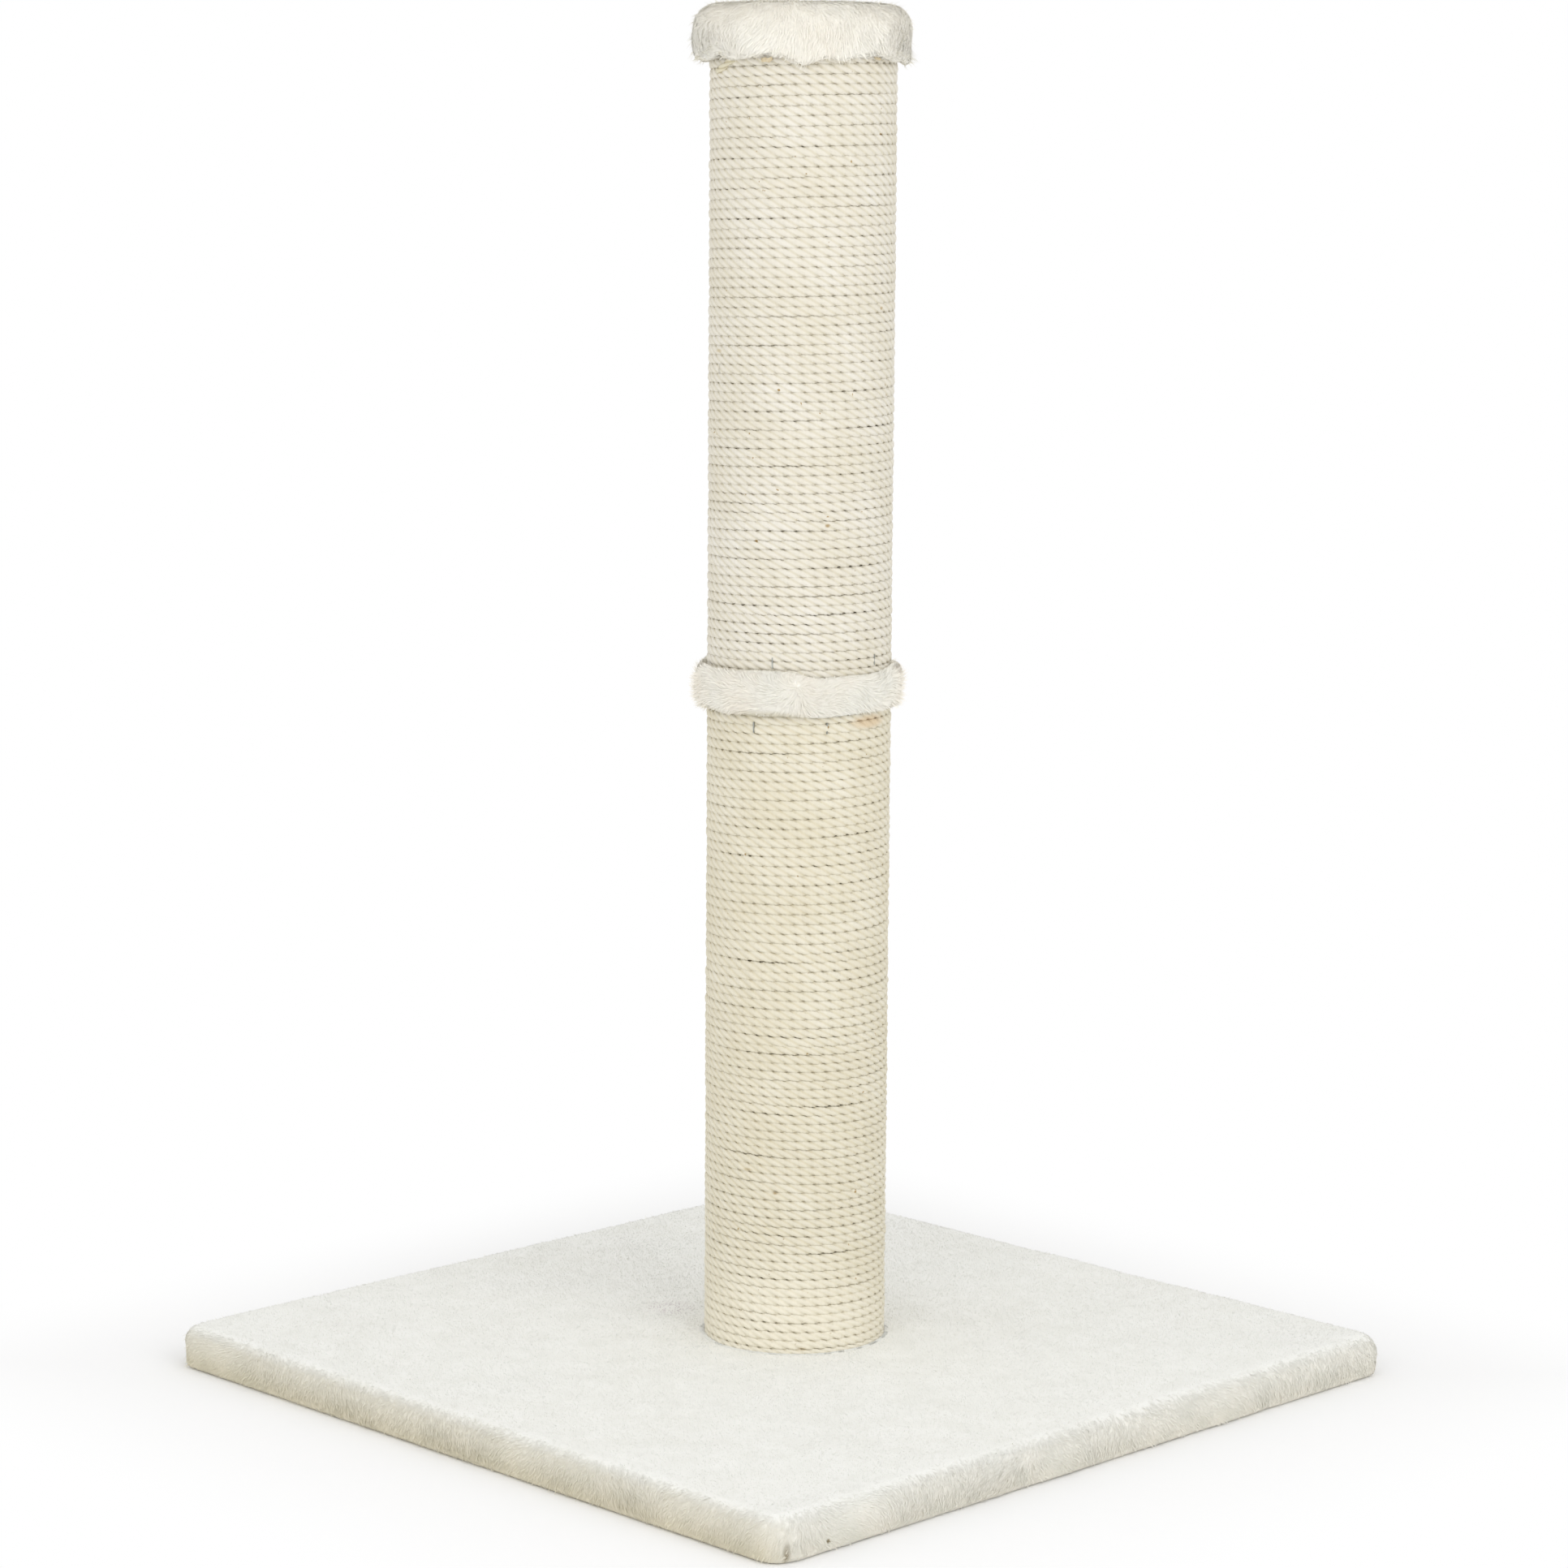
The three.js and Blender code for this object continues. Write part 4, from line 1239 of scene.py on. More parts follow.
    def _planted(
        self, rows: list[np.ndarray], faces: list[list[list[int]]], heights: list[float], tone: np.ndarray
    ) -> bpy.types.Object:
        """Makes the piece from its fibres' points, none of them below the floor.

        Args:
            rows: for each point of a fibre, its place on every fibre.
            faces: a fibre's faces by the numbers of their points, those with as many sides in one list.
            heights: how far up the fibre each of its points is, from 0 to 1.
            tone: each fibre's tone.

        Returns:
            The piece.
        """
        points = np.stack(rows, axis=1).reshape(-1, 3)
        points[:, 2] = np.maximum(points[:, 2], 0.05 * MM)
        base = np.arange(len(tone))[:, None, None] * len(rows)
        alike = [(base + np.array(same)).reshape(-1, len(same[0])) for same in faces]
        piece = Bench.mesh(self.name, points, alike)
        Bench.mark(piece, "pile_height", np.tile(heights, len(tone)))
        Bench.mark(piece, "lock_tone", np.repeat(tone, len(rows)))
        return piece


@dataclass
class Nap(Pile):
    """A short pile that stands up: each fibre is a slim three-sided spike."""

    def _fibres(
        self,
        roots: np.ndarray,
        tips: np.ndarray,
        rise: np.ndarray,
        normals: np.ndarray,
        tone: np.ndarray,
        width: np.ndarray,
        rng: np.random.Generator,
    ) -> bpy.types.Object:
        """Makes each fibre a spike with its foot in the skin."""
        heading = unit(tips - roots)
        side = unit(np.cross(heading, normals + 0.02 * rng.normal(size=roots.shape)))
        above = np.cross(side, heading)
        turn = rng.uniform(0, 2 * math.pi, (len(roots), 1))
        sunk = roots - normals * self.sink
        rows = []
        for third in range(3):
            angle = turn + third * 2 * math.pi / 3
            rows.append(sunk + (side * np.cos(angle) + above * np.sin(angle)) * width / 2)
        sides = [[0, 3, 1], [1, 3, 2], [2, 3, 0]]
        return self._planted([*rows, tips], [sides], [0.0, 0.0, 0.0, 1.0], tone)


def wear(piece: bpy.types.Object, coat: Coat) -> None:
    """Dresses a piece and fixes it to the post."""
    Bench.dress(piece, WARDROBE.get(coat))
    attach(piece, "root")


@dataclass(frozen=True)
class Mark:
    """A small place on the base cover that is pressed in, creased or tucked."""

    place: tuple[float, float, float]
    depth: float
    radius: float
    height: float = 0.0

    def press(self, points: np.ndarray) -> np.ndarray:
        """Returns how far each point is pressed in. With a height, the mark is an upright crease."""
        away = points - np.array(self.place)
        if self.height:
            fade = 1 - ease(points[:, 2], self.height * 0.5, self.height)
            return self.depth * np.exp(-((away[:, :2] ** 2).sum(axis=1)) / self.radius**2) * fade
        return self.depth * np.exp(-((away**2).sum(axis=1)) / self.radius**2)


@dataclass
class BaseCover:
    """The plush over the base board: one sheet folded over the rim, with its hem turned under."""

    node: str = "base_plush"
    post_node: str = "lower_rope"
    tube_node: str = "lower_tube"
    top_nap: float = 0.8 * MM
    side_nap: float = 1.5 * MM
    rim_radius: float = 11.0 * MM
    foot_radius: float = 3.5 * MM
    corner_radius: float = 15.5 * MM
    hem_width: float = 36 * MM
    cloth: float = 0.5 * MM
    cells: tuple[int, int, int, int, int] = (58, 9, 4, 5, 6)
    fine_cuts: int = 5
    staples: int = 16
    staple_dent: float = 1.0 * MM
    halves: tuple[tuple[str, int, int], ...] = (("front", -1, 60000), ("back", 1, 48000))
    marks: tuple[Mark, ...] = (
        Mark((-0.0709, -0.1600, 0.0245), 0.9 * MM, 3.5 * MM),
        Mark((0.1184, 0.0683, 0.0245), 0.8 * MM, 3.5 * MM),
        Mark((-0.1574, -0.1962, 0.0245), 0.6 * MM, 3.5 * MM),
        Mark((0.2490, -0.2380, 0.0), 2.0 * MM, 3.0 * MM, height=14 * MM),
        Mark((0.2500, 0.1413, 0.0), 0.9 * MM, 4.0 * MM, height=22 * MM),
        Mark((-0.2440, 0.2440, 0.0), 2.2 * MM, 3.2 * MM, height=14 * MM),
        Mark((-0.2450, -0.2450, 0.0), 2.6 * MM, 6.0 * MM, height=18 * MM),
        Mark((0.2440, 0.2440, 0.0), 1.4 * MM, 3.2 * MM, height=12 * MM),
    )

    def build(self) -> None:
        """Makes the cloth and its pile."""
        self.low, self.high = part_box(self.node)
        post_low, post_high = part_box(self.post_node)
        self.post = np.array((post_low + post_high) / 2)
        self.post_radius = (post_high.x - post_low.x) / 2
        self.crowns = [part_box(f"hem_staple_{number}") for number in range(1, self.staples + 1)]
        skin = self._cloth()
        wear(skin, Coat.BASE_SKIN)
        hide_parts(self.node)
        piles = [*self._top(skin), *self._sides(skin), self._foot(skin), self._hem(skin)]
        LOG.info("base cover: %d pieces of pile", len(piles))

    def _profile(self) -> tuple[np.ndarray, np.ndarray, np.ndarray]:
        """Follows the cloth from the middle of the top to the inner edge of the hem.

        Returns:
            The length of cloth, the distance from the middle and the height, at each row of cells.
        """
        half = (self.high.x - self.low.x) / 2 - self.side_nap
        top, foot = self.high.z - self.top_nap, 0.3 * MM
        rim, turn = self.rim_radius, self.foot_radius
        flat, over, down, under, hem = self.cells
        quarter = np.linspace(0, math.pi / 2, over + 1)[1:]
        tuck = np.linspace(0, math.pi / 2, under + 1)[1:]
        reach = np.concatenate([
            np.linspace(0, half - rim, flat + 1),
            half - rim + rim * np.sin(quarter),
            np.full(down, half),
            half - turn + turn * np.cos(tuck),
            np.linspace(half - turn, half - self.hem_width, hem + 1)[1:],
        ])
        height = np.concatenate([
            np.full(flat + 1, top),
            top - rim + rim * np.cos(quarter),
            np.linspace(top - rim, foot + turn, down + 1)[1:],
            foot + turn - turn * np.sin(tuck),
            np.full(hem, foot),
        ])
        steps = np.hypot(np.diff(reach), np.diff(height))
        return np.concatenate([[0], np.cumsum(steps)]), reach, height

    def _cloth(self) -> bpy.types.Object:
        """Returns the cloth itself, folded from a flat sheet."""
        rows = sum(self.cells)
        bpy.ops.object.select_all(action="DESELECT")
        bpy.ops.mesh.primitive_grid_add(x_subdivisions=2 * rows, y_subdivisions=2 * rows, size=2)
        skin = Bench.take("base_cover")
        cut, reach, height = self._profile()
        sheet = Bench.points(skin)[:, :2]
        spread = np.sign(sheet) * np.interp(np.abs(sheet) * rows, np.arange(rows + 1), cut)
        out = np.maximum(np.abs(spread).max(axis=1), 1e-9)
        ring = np.interp(out, cut, reach)
        plan = self._rounded(spread / out[:, None] * ring[:, None], ring, reach.max())
        Bench.reshape(skin, np.column_stack([plan, np.interp(out, cut, height)]))
        with Bench.editing(skin):
            for near in (self._near_rope, self._near_crown):
                Bench.pick_faces(skin, near)
                bpy.ops.mesh.subdivide(number_cuts=self.fine_cuts)
        self._shape(skin)
        Bench.modify(skin, "SOLIDIFY", thickness=self.cloth, offset=-1.0)
        Bench.smooth(skin)
        return skin

    def _near_rope(self, at: Vector, normal: Vector) -> bool:
        """Says whether a face of the top lies by the outline of the wound rope."""
        off_axis = (at.xy - Vector(self.post[:2])).length
        return normal.z > 0.9 and abs(off_axis - self.post_radius) < 10 * MM

    def _near_crown(self, at: Vector, normal: Vector) -> bool:
        """Says whether a face of the hem lies by one of its staples."""
        return normal.z < -0.9 and self._off_crowns(np.array([at]))[0] < 5 * MM

    def _rounded(self, plan: np.ndarray, ring: np.ndarray, half: float) -> np.ndarray:
        """Rounds the corners of square rings, less and less towards the middle."""
        curve = np.maximum(self.corner_radius - (half - ring), 0)
        flat = np.maximum(ring - curve, 0)[:, None]
        corner = np.clip(plan, -flat, flat)
        over = plan - corner
        return corner + unit(over) * np.abs(over).max(axis=1, keepdims=True)

    def _shape(self, skin: bpy.types.Object) -> None:
        """Lets the cloth swell and sink a little, and presses it down under the post."""
        points, normals = Bench.points(skin), Bench.normals(skin)
        upward = np.clip(normals[:, 2], 0, 1)
        sideways = 1 - np.abs(normals[:, 2])
        swell = upward * (0.16 * ripple(points, 110 * MM, 3) + 0.07 * ripple(points, 34 * MM, 4))
        edges = 0.3 * ripple(points, 90 * MM, 5) + 0.1 * ripple(points, 24 * MM, 6)
        swell += sideways * edges - 0.3 * upward
        pressed = sum(mark.press(points) for mark in self.marks)
        points += normals * (swell * MM - pressed)[:, None]
        away = np.linalg.norm(points[:, :2] - self.post[:2], axis=1) - self.post_radius
        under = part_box(self.tube_node)[0].z - 0.3 * MM
        rise = ease(away, -4.0 * MM, -1.8 * MM)
        top = points[:, 2] > 15 * MM
        points[:, 2] = np.where(top, under + (points[:, 2] - under) * rise, points[:, 2])
        points[:, 2] = np.maximum(points[:, 2], 0.25 * MM)
        below = points[:, 2] < 1 * MM
        dent = 1 - ease(self._off_crowns(points), 0.4 * MM, 2.4 * MM)
        points[:, 2] += below * self.staple_dent * dent
        Bench.reshape(skin, points)

    def _off_crowns(self, points: np.ndarray) -> np.ndarray:
        """Returns each point's distance from the nearest hem staple, seen from below."""
        nearest = np.full(len(points), np.inf)
        for low, high in self.crowns:
            over = np.maximum(np.array(low)[:2] - points[:, :2], points[:, :2] - np.array(high)[:2])
            nearest = np.minimum(nearest, np.linalg.norm(np.maximum(over, 0), axis=1))
        return nearest

    def _away(self, points: np.ndarray) -> np.ndarray:
        """Returns each point's distance from the wound rope."""
        return np.linalg.norm(points[:, :2] - self.post[:2], axis=1) - self.post_radius

    def _top(self, skin: bpy.types.Object) -> list[bpy.types.Object]:
        """Grows the short, dense nap on top, one half at a time."""
        made = []
        for number, (name, sign, _) in enumerate(self.halves):
            pile = Nap(
                f"base_nap_{name}", count=58000, length=0.7 * MM, width=0.45 * MM, depth=1.1 * MM, stray=0.3,
                wild=0.0, lock=3.5 * MM, gather=0.05, seed=11 + number, sink=0.08 * MM, swirl=0.5,
                swirl_size=60 * MM,
            )
            nap = pile.grow(skin, self._forward, partial(self._on_top, sign=sign))
            wear(nap, Coat.BASE_FUR)
            made.append(nap)
        return made

    @staticmethod
    def _forward(points: np.ndarray, normals: np.ndarray) -> np.ndarray:
        """Combs the nap towards the front corner."""
        return laid(np.tile([0.7, -0.7, -0.5], (len(points), 1)), normals)

    def _on_top(self, points: np.ndarray, normals: np.ndarray, sign: int) -> np.ndarray:
        """Keeps the nap to one half of the top, outside the post."""
        clear = self._away(points) > 0.3 * MM
        return clear * (np.sign(points[:, 1]) == sign) * np.clip((normals[:, 2] - 0.6) / 0.25, 0, 1)

    def _sides(self, skin: bpy.types.Object) -> list[bpy.types.Object]:
        """Grows the longer pile round the four sides."""
        made = []
        for number, (name, sign, count) in enumerate(self.halves):
            pile = Pile(
                f"base_side_pile_{name}", count=count, length=4.0 * MM, width=0.5 * MM, depth=0.5 * MM,
                stray=0.22, wild=0.03, gather=0.12, seed=21 + number, swirl=0.3, swirl_size=30 * MM,
                under=0.4,
            )
            side = pile.grow(skin, self._downward, partial(self._on_sides, sign=sign))
            wear(side, Coat.BASE_FUR)
            made.append(side)
        return made

    @staticmethod
    def _downward(points: np.ndarray, normals: np.ndarray) -> np.ndarray:
        """Combs the pile down and a little to one side."""
        across = np.cross(normals, np.tile([0.0, 0.0, 1.0], (len(points), 1)))
        slant = 0.3 * ripple(points, 90 * MM, 8)[:, None]
        return laid(across * slant + [0.0, 0.0, -1.0], normals)

    @staticmethod
    def _on_sides(points: np.ndarray, normals: np.ndarray, sign: int) -> np.ndarray:
        """Keeps the pile to the outer faces of one half of the base."""
        out = np.clip((0.985 - normals[:, 2]) / 0.2, 0, 1) * (normals[:, 2] > -0.6)
        outer = (points[:, :2] * normals[:, :2]).sum(axis=1) >= 0
        return out * (outer & (np.sign(points[:, 1]) == sign))

    def _foot(self, skin: bpy.types.Object) -> bpy.types.Object:
        """Grows the fluff that leans against the foot of the post."""
        pile = Pile(
            "base_foot_fluff", count=9000, length=2.2 * MM, width=0.35 * MM, depth=0.5 * MM, stray=0.2,
            wild=0.0, gather=0.1, seed=29,
        )

        def comb(points: np.ndarray, normals: np.ndarray) -> np.ndarray:
            """Combs the fluff at the post and round it."""
            out = unit((points - self.post) * [1, 1, 0])
            return unit(-out + 0.8 * np.cross([0, 0, 1], out) * np.sign(ripple(points, 9 * MM, 2))[:, None])

        def thickness(points: np.ndarray, normals: np.ndarray) -> np.ndarray:
            """Keeps to a narrow ring round the post."""
            away = self._away(points)
            return ((normals[:, 2] > 0.2) & (away > 0.1 * MM) & (away < 2.2 * MM)).astype(float)

        fluff = pile.grow(skin, comb, thickness)
        points = Bench.points(fluff)
        out = points[:, :2] - self.post[:2]
        far = np.linalg.norm(out, axis=1, keepdims=True)
        points[:, :2] = self.post[:2] + out / far * np.maximum(far, self.post_radius + 0.1 * MM)
        Bench.reshape(fluff, points)
        wear(fluff, Coat.BASE_FUR)
        return fluff

    def _hem(self, skin: bpy.types.Object) -> bpy.types.Object:
        """Grows the flattened nap on the hem under the board."""
        pile = Pile(
            "base_hem_nap", count=15000, length=3.0 * MM, width=0.7 * MM, depth=0.15 * MM, stray=0.3,
            wild=0.0, seed=31, sink=0.0,
        )

        def comb(points: np.ndarray, normals: np.ndarray) -> np.ndarray:
            """Combs the nap outwards."""
            return unit(points * [1.0, 1.0, 0.0])

        def under(points: np.ndarray, normals: np.ndarray) -> np.ndarray:
            """Keeps to the face that lies on the floor."""
            clear = self._off_crowns(points) > 2.8 * MM
            return ((normals[:, 2] < -0.6) & (points[:, 2] < 0.7 * MM) & clear).astype(float)

        nap = pile.grow(skin, comb, under)
        wear(nap, Coat.BASE_FUR)
        return nap


@dataclass
class JointBand:
    """The plush band over the joint of the two sections.

    sag is the place where its upper edge hangs: an angle round the post, a width and a depth. rightward
    is the way that points to the right as the camera sees it: the fur parts at the front of the post.
    """

    node: str = "joint_band"
    pile_depth: float = 1.4 * MM
    thickness: float = 5.7 * MM
    edge_radius: float = 2.0 * MM
    edge_gap: float = 1.6 * MM
    edge_thickness: float = 1.2 * MM
    hem_lift: float = 2.3 * MM
    sag: tuple[float, float, float] = (-18.0, 26.0, 3.6 * MM)
    rightward: tuple[float, float, float] = (0.706, 0.708, 0.0)

    def build(self) -> None:
        """Makes the band's cloth and its pile."""
        self.low, self.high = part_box(self.node)
        self.axis = np.array((self.low + self.high) / 2)
        self.outer = (self.high.x - self.low.x) / 2
        self.inner = self.outer - self.thickness
        self.height = self.high.z - self.low.z - 2 * self.edge_gap
        skin = self._cloth()
        wear(skin, Coat.SKIN)
        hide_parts(self.node)
        fur = self._pile(skin)
        LOG.info("joint band: %.0f mm high", self.height / MM)

    def _sagging(self, points: np.ndarray) -> np.ndarray:
        """Returns how far the upper edge sags at each point's angle round the post."""
        at, width, depth = self.sag
        angle = np.degrees(np.arctan2(points[:, 1] - self.axis[1], points[:, 0] - self.axis[0]))
        return depth * np.exp(-(((angle - at) / width) ** 2))

    def _outside(self, at: Vector) -> bool:
        """Says whether a point lies on the band's outer face."""
        return (at - Vector(self.axis)).xy.length > self.inner + 0.5 * MM

    def _is_rim(self, a: Vector, b: Vector) -> bool:
        """Says whether an edge runs round the outer rim."""
        return abs(a.z - b.z) < 0.01 * MM and self._outside(a) and self._outside(b)

    def _is_upright(self, a: Vector, b: Vector) -> bool:
        """Says whether an edge runs up the outer face."""
        return abs(a.z - b.z) > 8 * MM and self._outside(a) and self._outside(b)

    def _cloth(self) -> bpy.types.Object:
        """Returns the band itself, a soft ring that thins towards its wavy edges."""
        inner = self.inner
        bpy.ops.object.select_all(action="DESELECT")
        bpy.ops.mesh.primitive_cylinder_add(
            vertices=144, radius=inner, depth=self.height, location=self.axis, end_fill_type="NOTHING"
        )
        skin = Bench.take("joint_band_cloth")
        Bench.modify(skin, "SOLIDIFY", thickness=self.thickness - self.pile_depth, offset=1.0)
        with Bench.editing(skin):
            Bench.pick_edges(skin, self._is_rim)
            bpy.ops.mesh.bevel(offset=self.edge_radius, segments=5, affect="EDGES")
            Bench.pick_edges(skin, self._is_upright)
            bpy.ops.mesh.subdivide(number_cuts=9)
        points = Bench.points(skin)
        out = points[:, :2] - self.axis[:2]
        away = np.linalg.norm(out, axis=1)
        outer = ease(away, inner + 0.2 * MM, inner + 2.0 * MM)
        rise = (points[:, 2] - self.axis[2]) / (self.height / 2)
        lumps = 0.5 * ripple(points, 34 * MM, 61) + 0.3 * ripple(points, 13 * MM, 62)
        bulge = (1 - np.clip(np.abs(rise), 0, 1) ** 2.0) ** 0.5
        full = (self.thickness - self.pile_depth + 0.4 * MM - self.edge_thickness) * bulge
        full = full + self.edge_thickness
        wanted = inner + np.minimum(full, np.where(away > inner + 2.0 * MM, full, away - inner))
        swollen = wanted + outer * lumps * MM * bulge
        points[:, :2] = self.axis[:2] + out * (np.where(outer > 0, swollen, away) / away)[:, None]
        plan = points * [1, 1, 0]
        edge = np.where(rise > 0, ripple(plan, 36 * MM, 63), ripple(plan, 32 * MM, 64))
        points[:, 2] += 0.7 * MM * edge * np.abs(rise) ** 3
        lifted = self.hem_lift * np.clip(-rise, 0, 1) ** 2
        points[:, 2] += lifted - self._sagging(points) * np.clip(rise, 0, 1) ** 2
        Bench.reshape(skin, points)
        Bench.smooth(skin)
        return skin

    def _pile(self, skin: bpy.types.Object) -> bpy.types.Object:
        """Grows the band's fur, brushed round the post and out over both edges."""

        def comb(points: np.ndarray, normals: np.ndarray) -> np.ndarray:
            """Combs the fur sideways, up along the upper edge and down along the lower."""
            out = unit((points - self.axis) * [1, 1, 0])
            rise = np.clip((points[:, 2] - self.axis[2]) / (self.height / 2), -1, 1)
            parting = np.tanh(2.5 * (out @ self.rightward))
            round_post = np.cross([0, 0, 1], out) * (parting * (0.75 - 0.3 * np.abs(rise)))[:, None]
            return laid(round_post + np.array([0, 0, 1]) * (0.9 * rise**3 - 0.12)[:, None], normals)

        def thickness(points: np.ndarray, normals: np.ndarray) -> np.ndarray:
            """Keeps to the outside."""
            away = np.linalg.norm(points[:, :2] - self.axis[:2], axis=1)
            out = ((points - self.axis) * normals * [1, 1, 0]).sum(axis=1) > -0.002
            return (out & (away > self.inner + 0.6 * MM)).astype(float)

        def lowest(points: np.ndarray, _normals: np.ndarray) -> np.ndarray:
            """Gives the fur's wavy lower edge."""
            wave = 0.9 * ripple(points, 19 * MM, 65) + 0.5 * ripple(points, 5 * MM, 67)
            return self.low.z + 3.2 * MM + wave * MM

        def highest(points: np.ndarray, _normals: np.ndarray) -> np.ndarray:
            """Gives the fur's wavy upper edge."""
            wave = 0.8 * ripple(points, 23 * MM, 66) + 0.4 * ripple(points, 5 * MM, 68)
            return self.high.z - 1.0 * MM + wave * MM - self._sagging(points)

        pile = Pile(
            "joint_band_pile", count=60000, length=6.0 * MM, width=0.42 * MM, depth=0.8 * MM, stray=0.24,
            wild=0.06, lock=6.0 * MM, gather=0.3, seed=41, swirl=0.5, swirl_size=16 * MM, under=0.35,
        )
        fur = pile.grow(skin, comb, thickness, lowest=lowest, highest=highest)
        wear(fur, Coat.BAND_FUR)
        return fur


@dataclass
class PlushCap:
    """The plush cap pulled over the top of the post.

    tufts are the locks that hang lower than the rest of the lip, and nicks the places where it is drawn
    up: an angle and a width in degrees and a depth in millimetres each. hem is how far the fur's edge
    hangs below the cloth's, and hang the share of the edge's waves that the cloth follows.
    """

    node: str = "plush_cap"
    pile_depth: float = 1.3 * MM
    wall: float = 7.0 * MM
    roof: float = 6.0 * MM
    shoulder: float = 11.0 * MM
    lip_radius: float = 3.0 * MM
    lip_rise: float = 3.2 * MM
    roof_rings: int = 7
    hem: float = 1.2 * MM
    hang: float = 0.8
    tufts: tuple[tuple[float, float, float], ...] = (
        (-43.8, 5.5, 6.0), (-23.0, 5.0, 2.4), (-85.0, 7.0, 1.8), (-112.0, 8.0, 2.4), (18.0, 5.0, 2.2),
        (40.0, 9.0, 3.2), (118.0, 5.0, 3.0), (176.0, 6.0, 2.2), (-150.0, 6.0, 2.6),
    )
    nicks: tuple[tuple[float, float, float], ...] = (
        (-65.0, 6.0, 1.9), (-3.0, 6.0, 2.0), (70.0, 5.0, 1.6), (150.0, 4.0, 1.6), (-97.0, 4.0, 1.4),
    )

    def build(self) -> None:
        """Makes the cap's cloth and its pile."""
        self.low, self.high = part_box(self.node)
        self.axis = np.array((self.low + self.high) / 2)
        self.outer = (self.high.x - self.low.x) / 2
        self.foot = self.low.z + self.lip_rise
        self.top = self.high.z - 1.0 * MM
        skin = self._cloth()
        wear(skin, Coat.SKIN)
        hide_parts(self.node)
        fur = self._pile(skin)
        LOG.info("plush cap: %.0f mm across", 2 * self.outer / MM)

    def _angle(self, points: np.ndarray) -> np.ndarray:
        """Returns each point's angle round the post, in degrees."""
        return np.degrees(np.arctan2(points[:, 1] - self.axis[1], points[:, 0] - self.axis[0]))

    def _edge(self, points: np.ndarray) -> np.ndarray:
        """Returns the height of the lip's lower edge at each point's angle."""
        angle = self._angle(points)
        ring = (points - self.axis) * [1, 1, 0]
        edge = self.foot - self.hem + 0.7 * MM * ripple(unit(ring) * self.outer, 24 * MM, 57)
        for sign, places in ((-1, self.tufts), (1, self.nicks)):
            for at, width, depth in places:
                off = (angle - at + 180) % 360 - 180
                edge += sign * depth * MM * np.exp(-((off / width) ** 2))
        return edge

    def _cloth(self) -> bpy.types.Object:
        """Returns the cap itself, a soft thick shell with a wavy lip."""
        radius = self.outer - self.pile_depth
        bpy.ops.object.select_all(action="DESELECT")
        bpy.ops.mesh.primitive_cylinder_add(
            vertices=144, radius=radius, depth=self.top - self.foot,
            location=(self.axis[0], self.axis[1], (self.top + self.foot) / 2),
        )
        skin = Bench.take("plush_cap_cloth")
        with Bench.editing(skin):
            Bench.pick_edges(skin, lambda a, b: min(a.z, b.z) > self.top - 0.1 * MM)
            bpy.ops.mesh.bevel(offset=self.shoulder, segments=9, affect="EDGES")
            Bench.pick_edges(skin, lambda a, b: max(a.z, b.z) < self.foot + 0.1 * MM)
            bpy.ops.mesh.bevel(offset=self.lip_radius, segments=4, affect="EDGES")
            Bench.pick_edges(skin, lambda a, b: abs(a.z - b.z) > 8 * MM)
            bpy.ops.mesh.subdivide(number_cuts=6)
        return self._hollowed(skin, radius)

    def _in_middle(self, at: Vector) -> bool:
        """Says whether a face's centre lies on the cap's axis."""
        return (at.xy - Vector(self.axis[:2])).length < 1 * MM

    def _hollowed(self, skin: bpy.types.Object, radius: float) -> bpy.types.Object:
        """Opens the cap from below, tops it with rings and lets it bulge."""
        with Bench.editing(skin):
            for _ in range(self.roof_rings):
                Bench.pick_faces(skin, lambda at, normal: normal.z > 0.99 and self._in_middle(at))
                bpy.ops.mesh.inset(thickness=(radius - self.shoulder) / (self.roof_rings + 1))
            Bench.pick_faces(skin, lambda at, normal: normal.z < -0.99)
            bpy.ops.mesh.inset(thickness=max(self.wall - self.pile_depth - self.lip_radius, 0.5 * MM))
            Bench.pick_faces(skin, lambda at, normal: normal.z < -0.99 and self._in_middle(at))
            bpy.ops.mesh.extrude_region_move(
                TRANSFORM_OT_translate={"value": (0, 0, self.high.z - self.roof - self.foot)}
            )
        points, normals = Bench.points(skin), Bench.normals(skin)
        away = np.linalg.norm(points[:, :2] - self.axis[:2], axis=1)
        outside = (away > self.outer - self.wall + 1.0 * MM) | (points[:, 2] > self.top - 3.5 * MM)
        rise = (points[:, 2] - self.foot) / (self.top - self.foot)
        side = np.clip(1 - np.abs(normals[:, 2]), 0, 1)
        lumps = 0.35 * ripple(points, 44 * MM, 55) + 0.3 * ripple(points, 17 * MM, 56)
        lumps = lumps * (0.35 + 0.65 * side)
        bulge = 1.1 * side * (1 - (2 * rise - 0.9) ** 2) - 0.7
        points += normals * (outside * (lumps + bulge) * MM)[:, None]
        hang = (self._edge(points) + self.hem - self.foot) * self.hang
        points[:, 2] += hang * (1 - ease(points[:, 2], self.foot, self.foot + 9 * MM)) * outside
        Bench.reshape(skin, points)
        Bench.smooth(skin)
        return skin

    def _pile(self, skin: bpy.types.Object) -> bpy.types.Object:
        """Grows the cap's fur: short on top, longer and tufted towards the lip."""

        def comb(points: np.ndarray, normals: np.ndarray) -> np.ndarray:
            """Combs the fur outwards on top and down the sides."""
            out = unit((points - self.axis) * [1, 1, 0])
            around = np.cross([0, 0, 1], out) * 0.35 * ripple(points, 50 * MM, 58)[:, None]
            return laid(out + around + [0, 0, -1.2], normals)

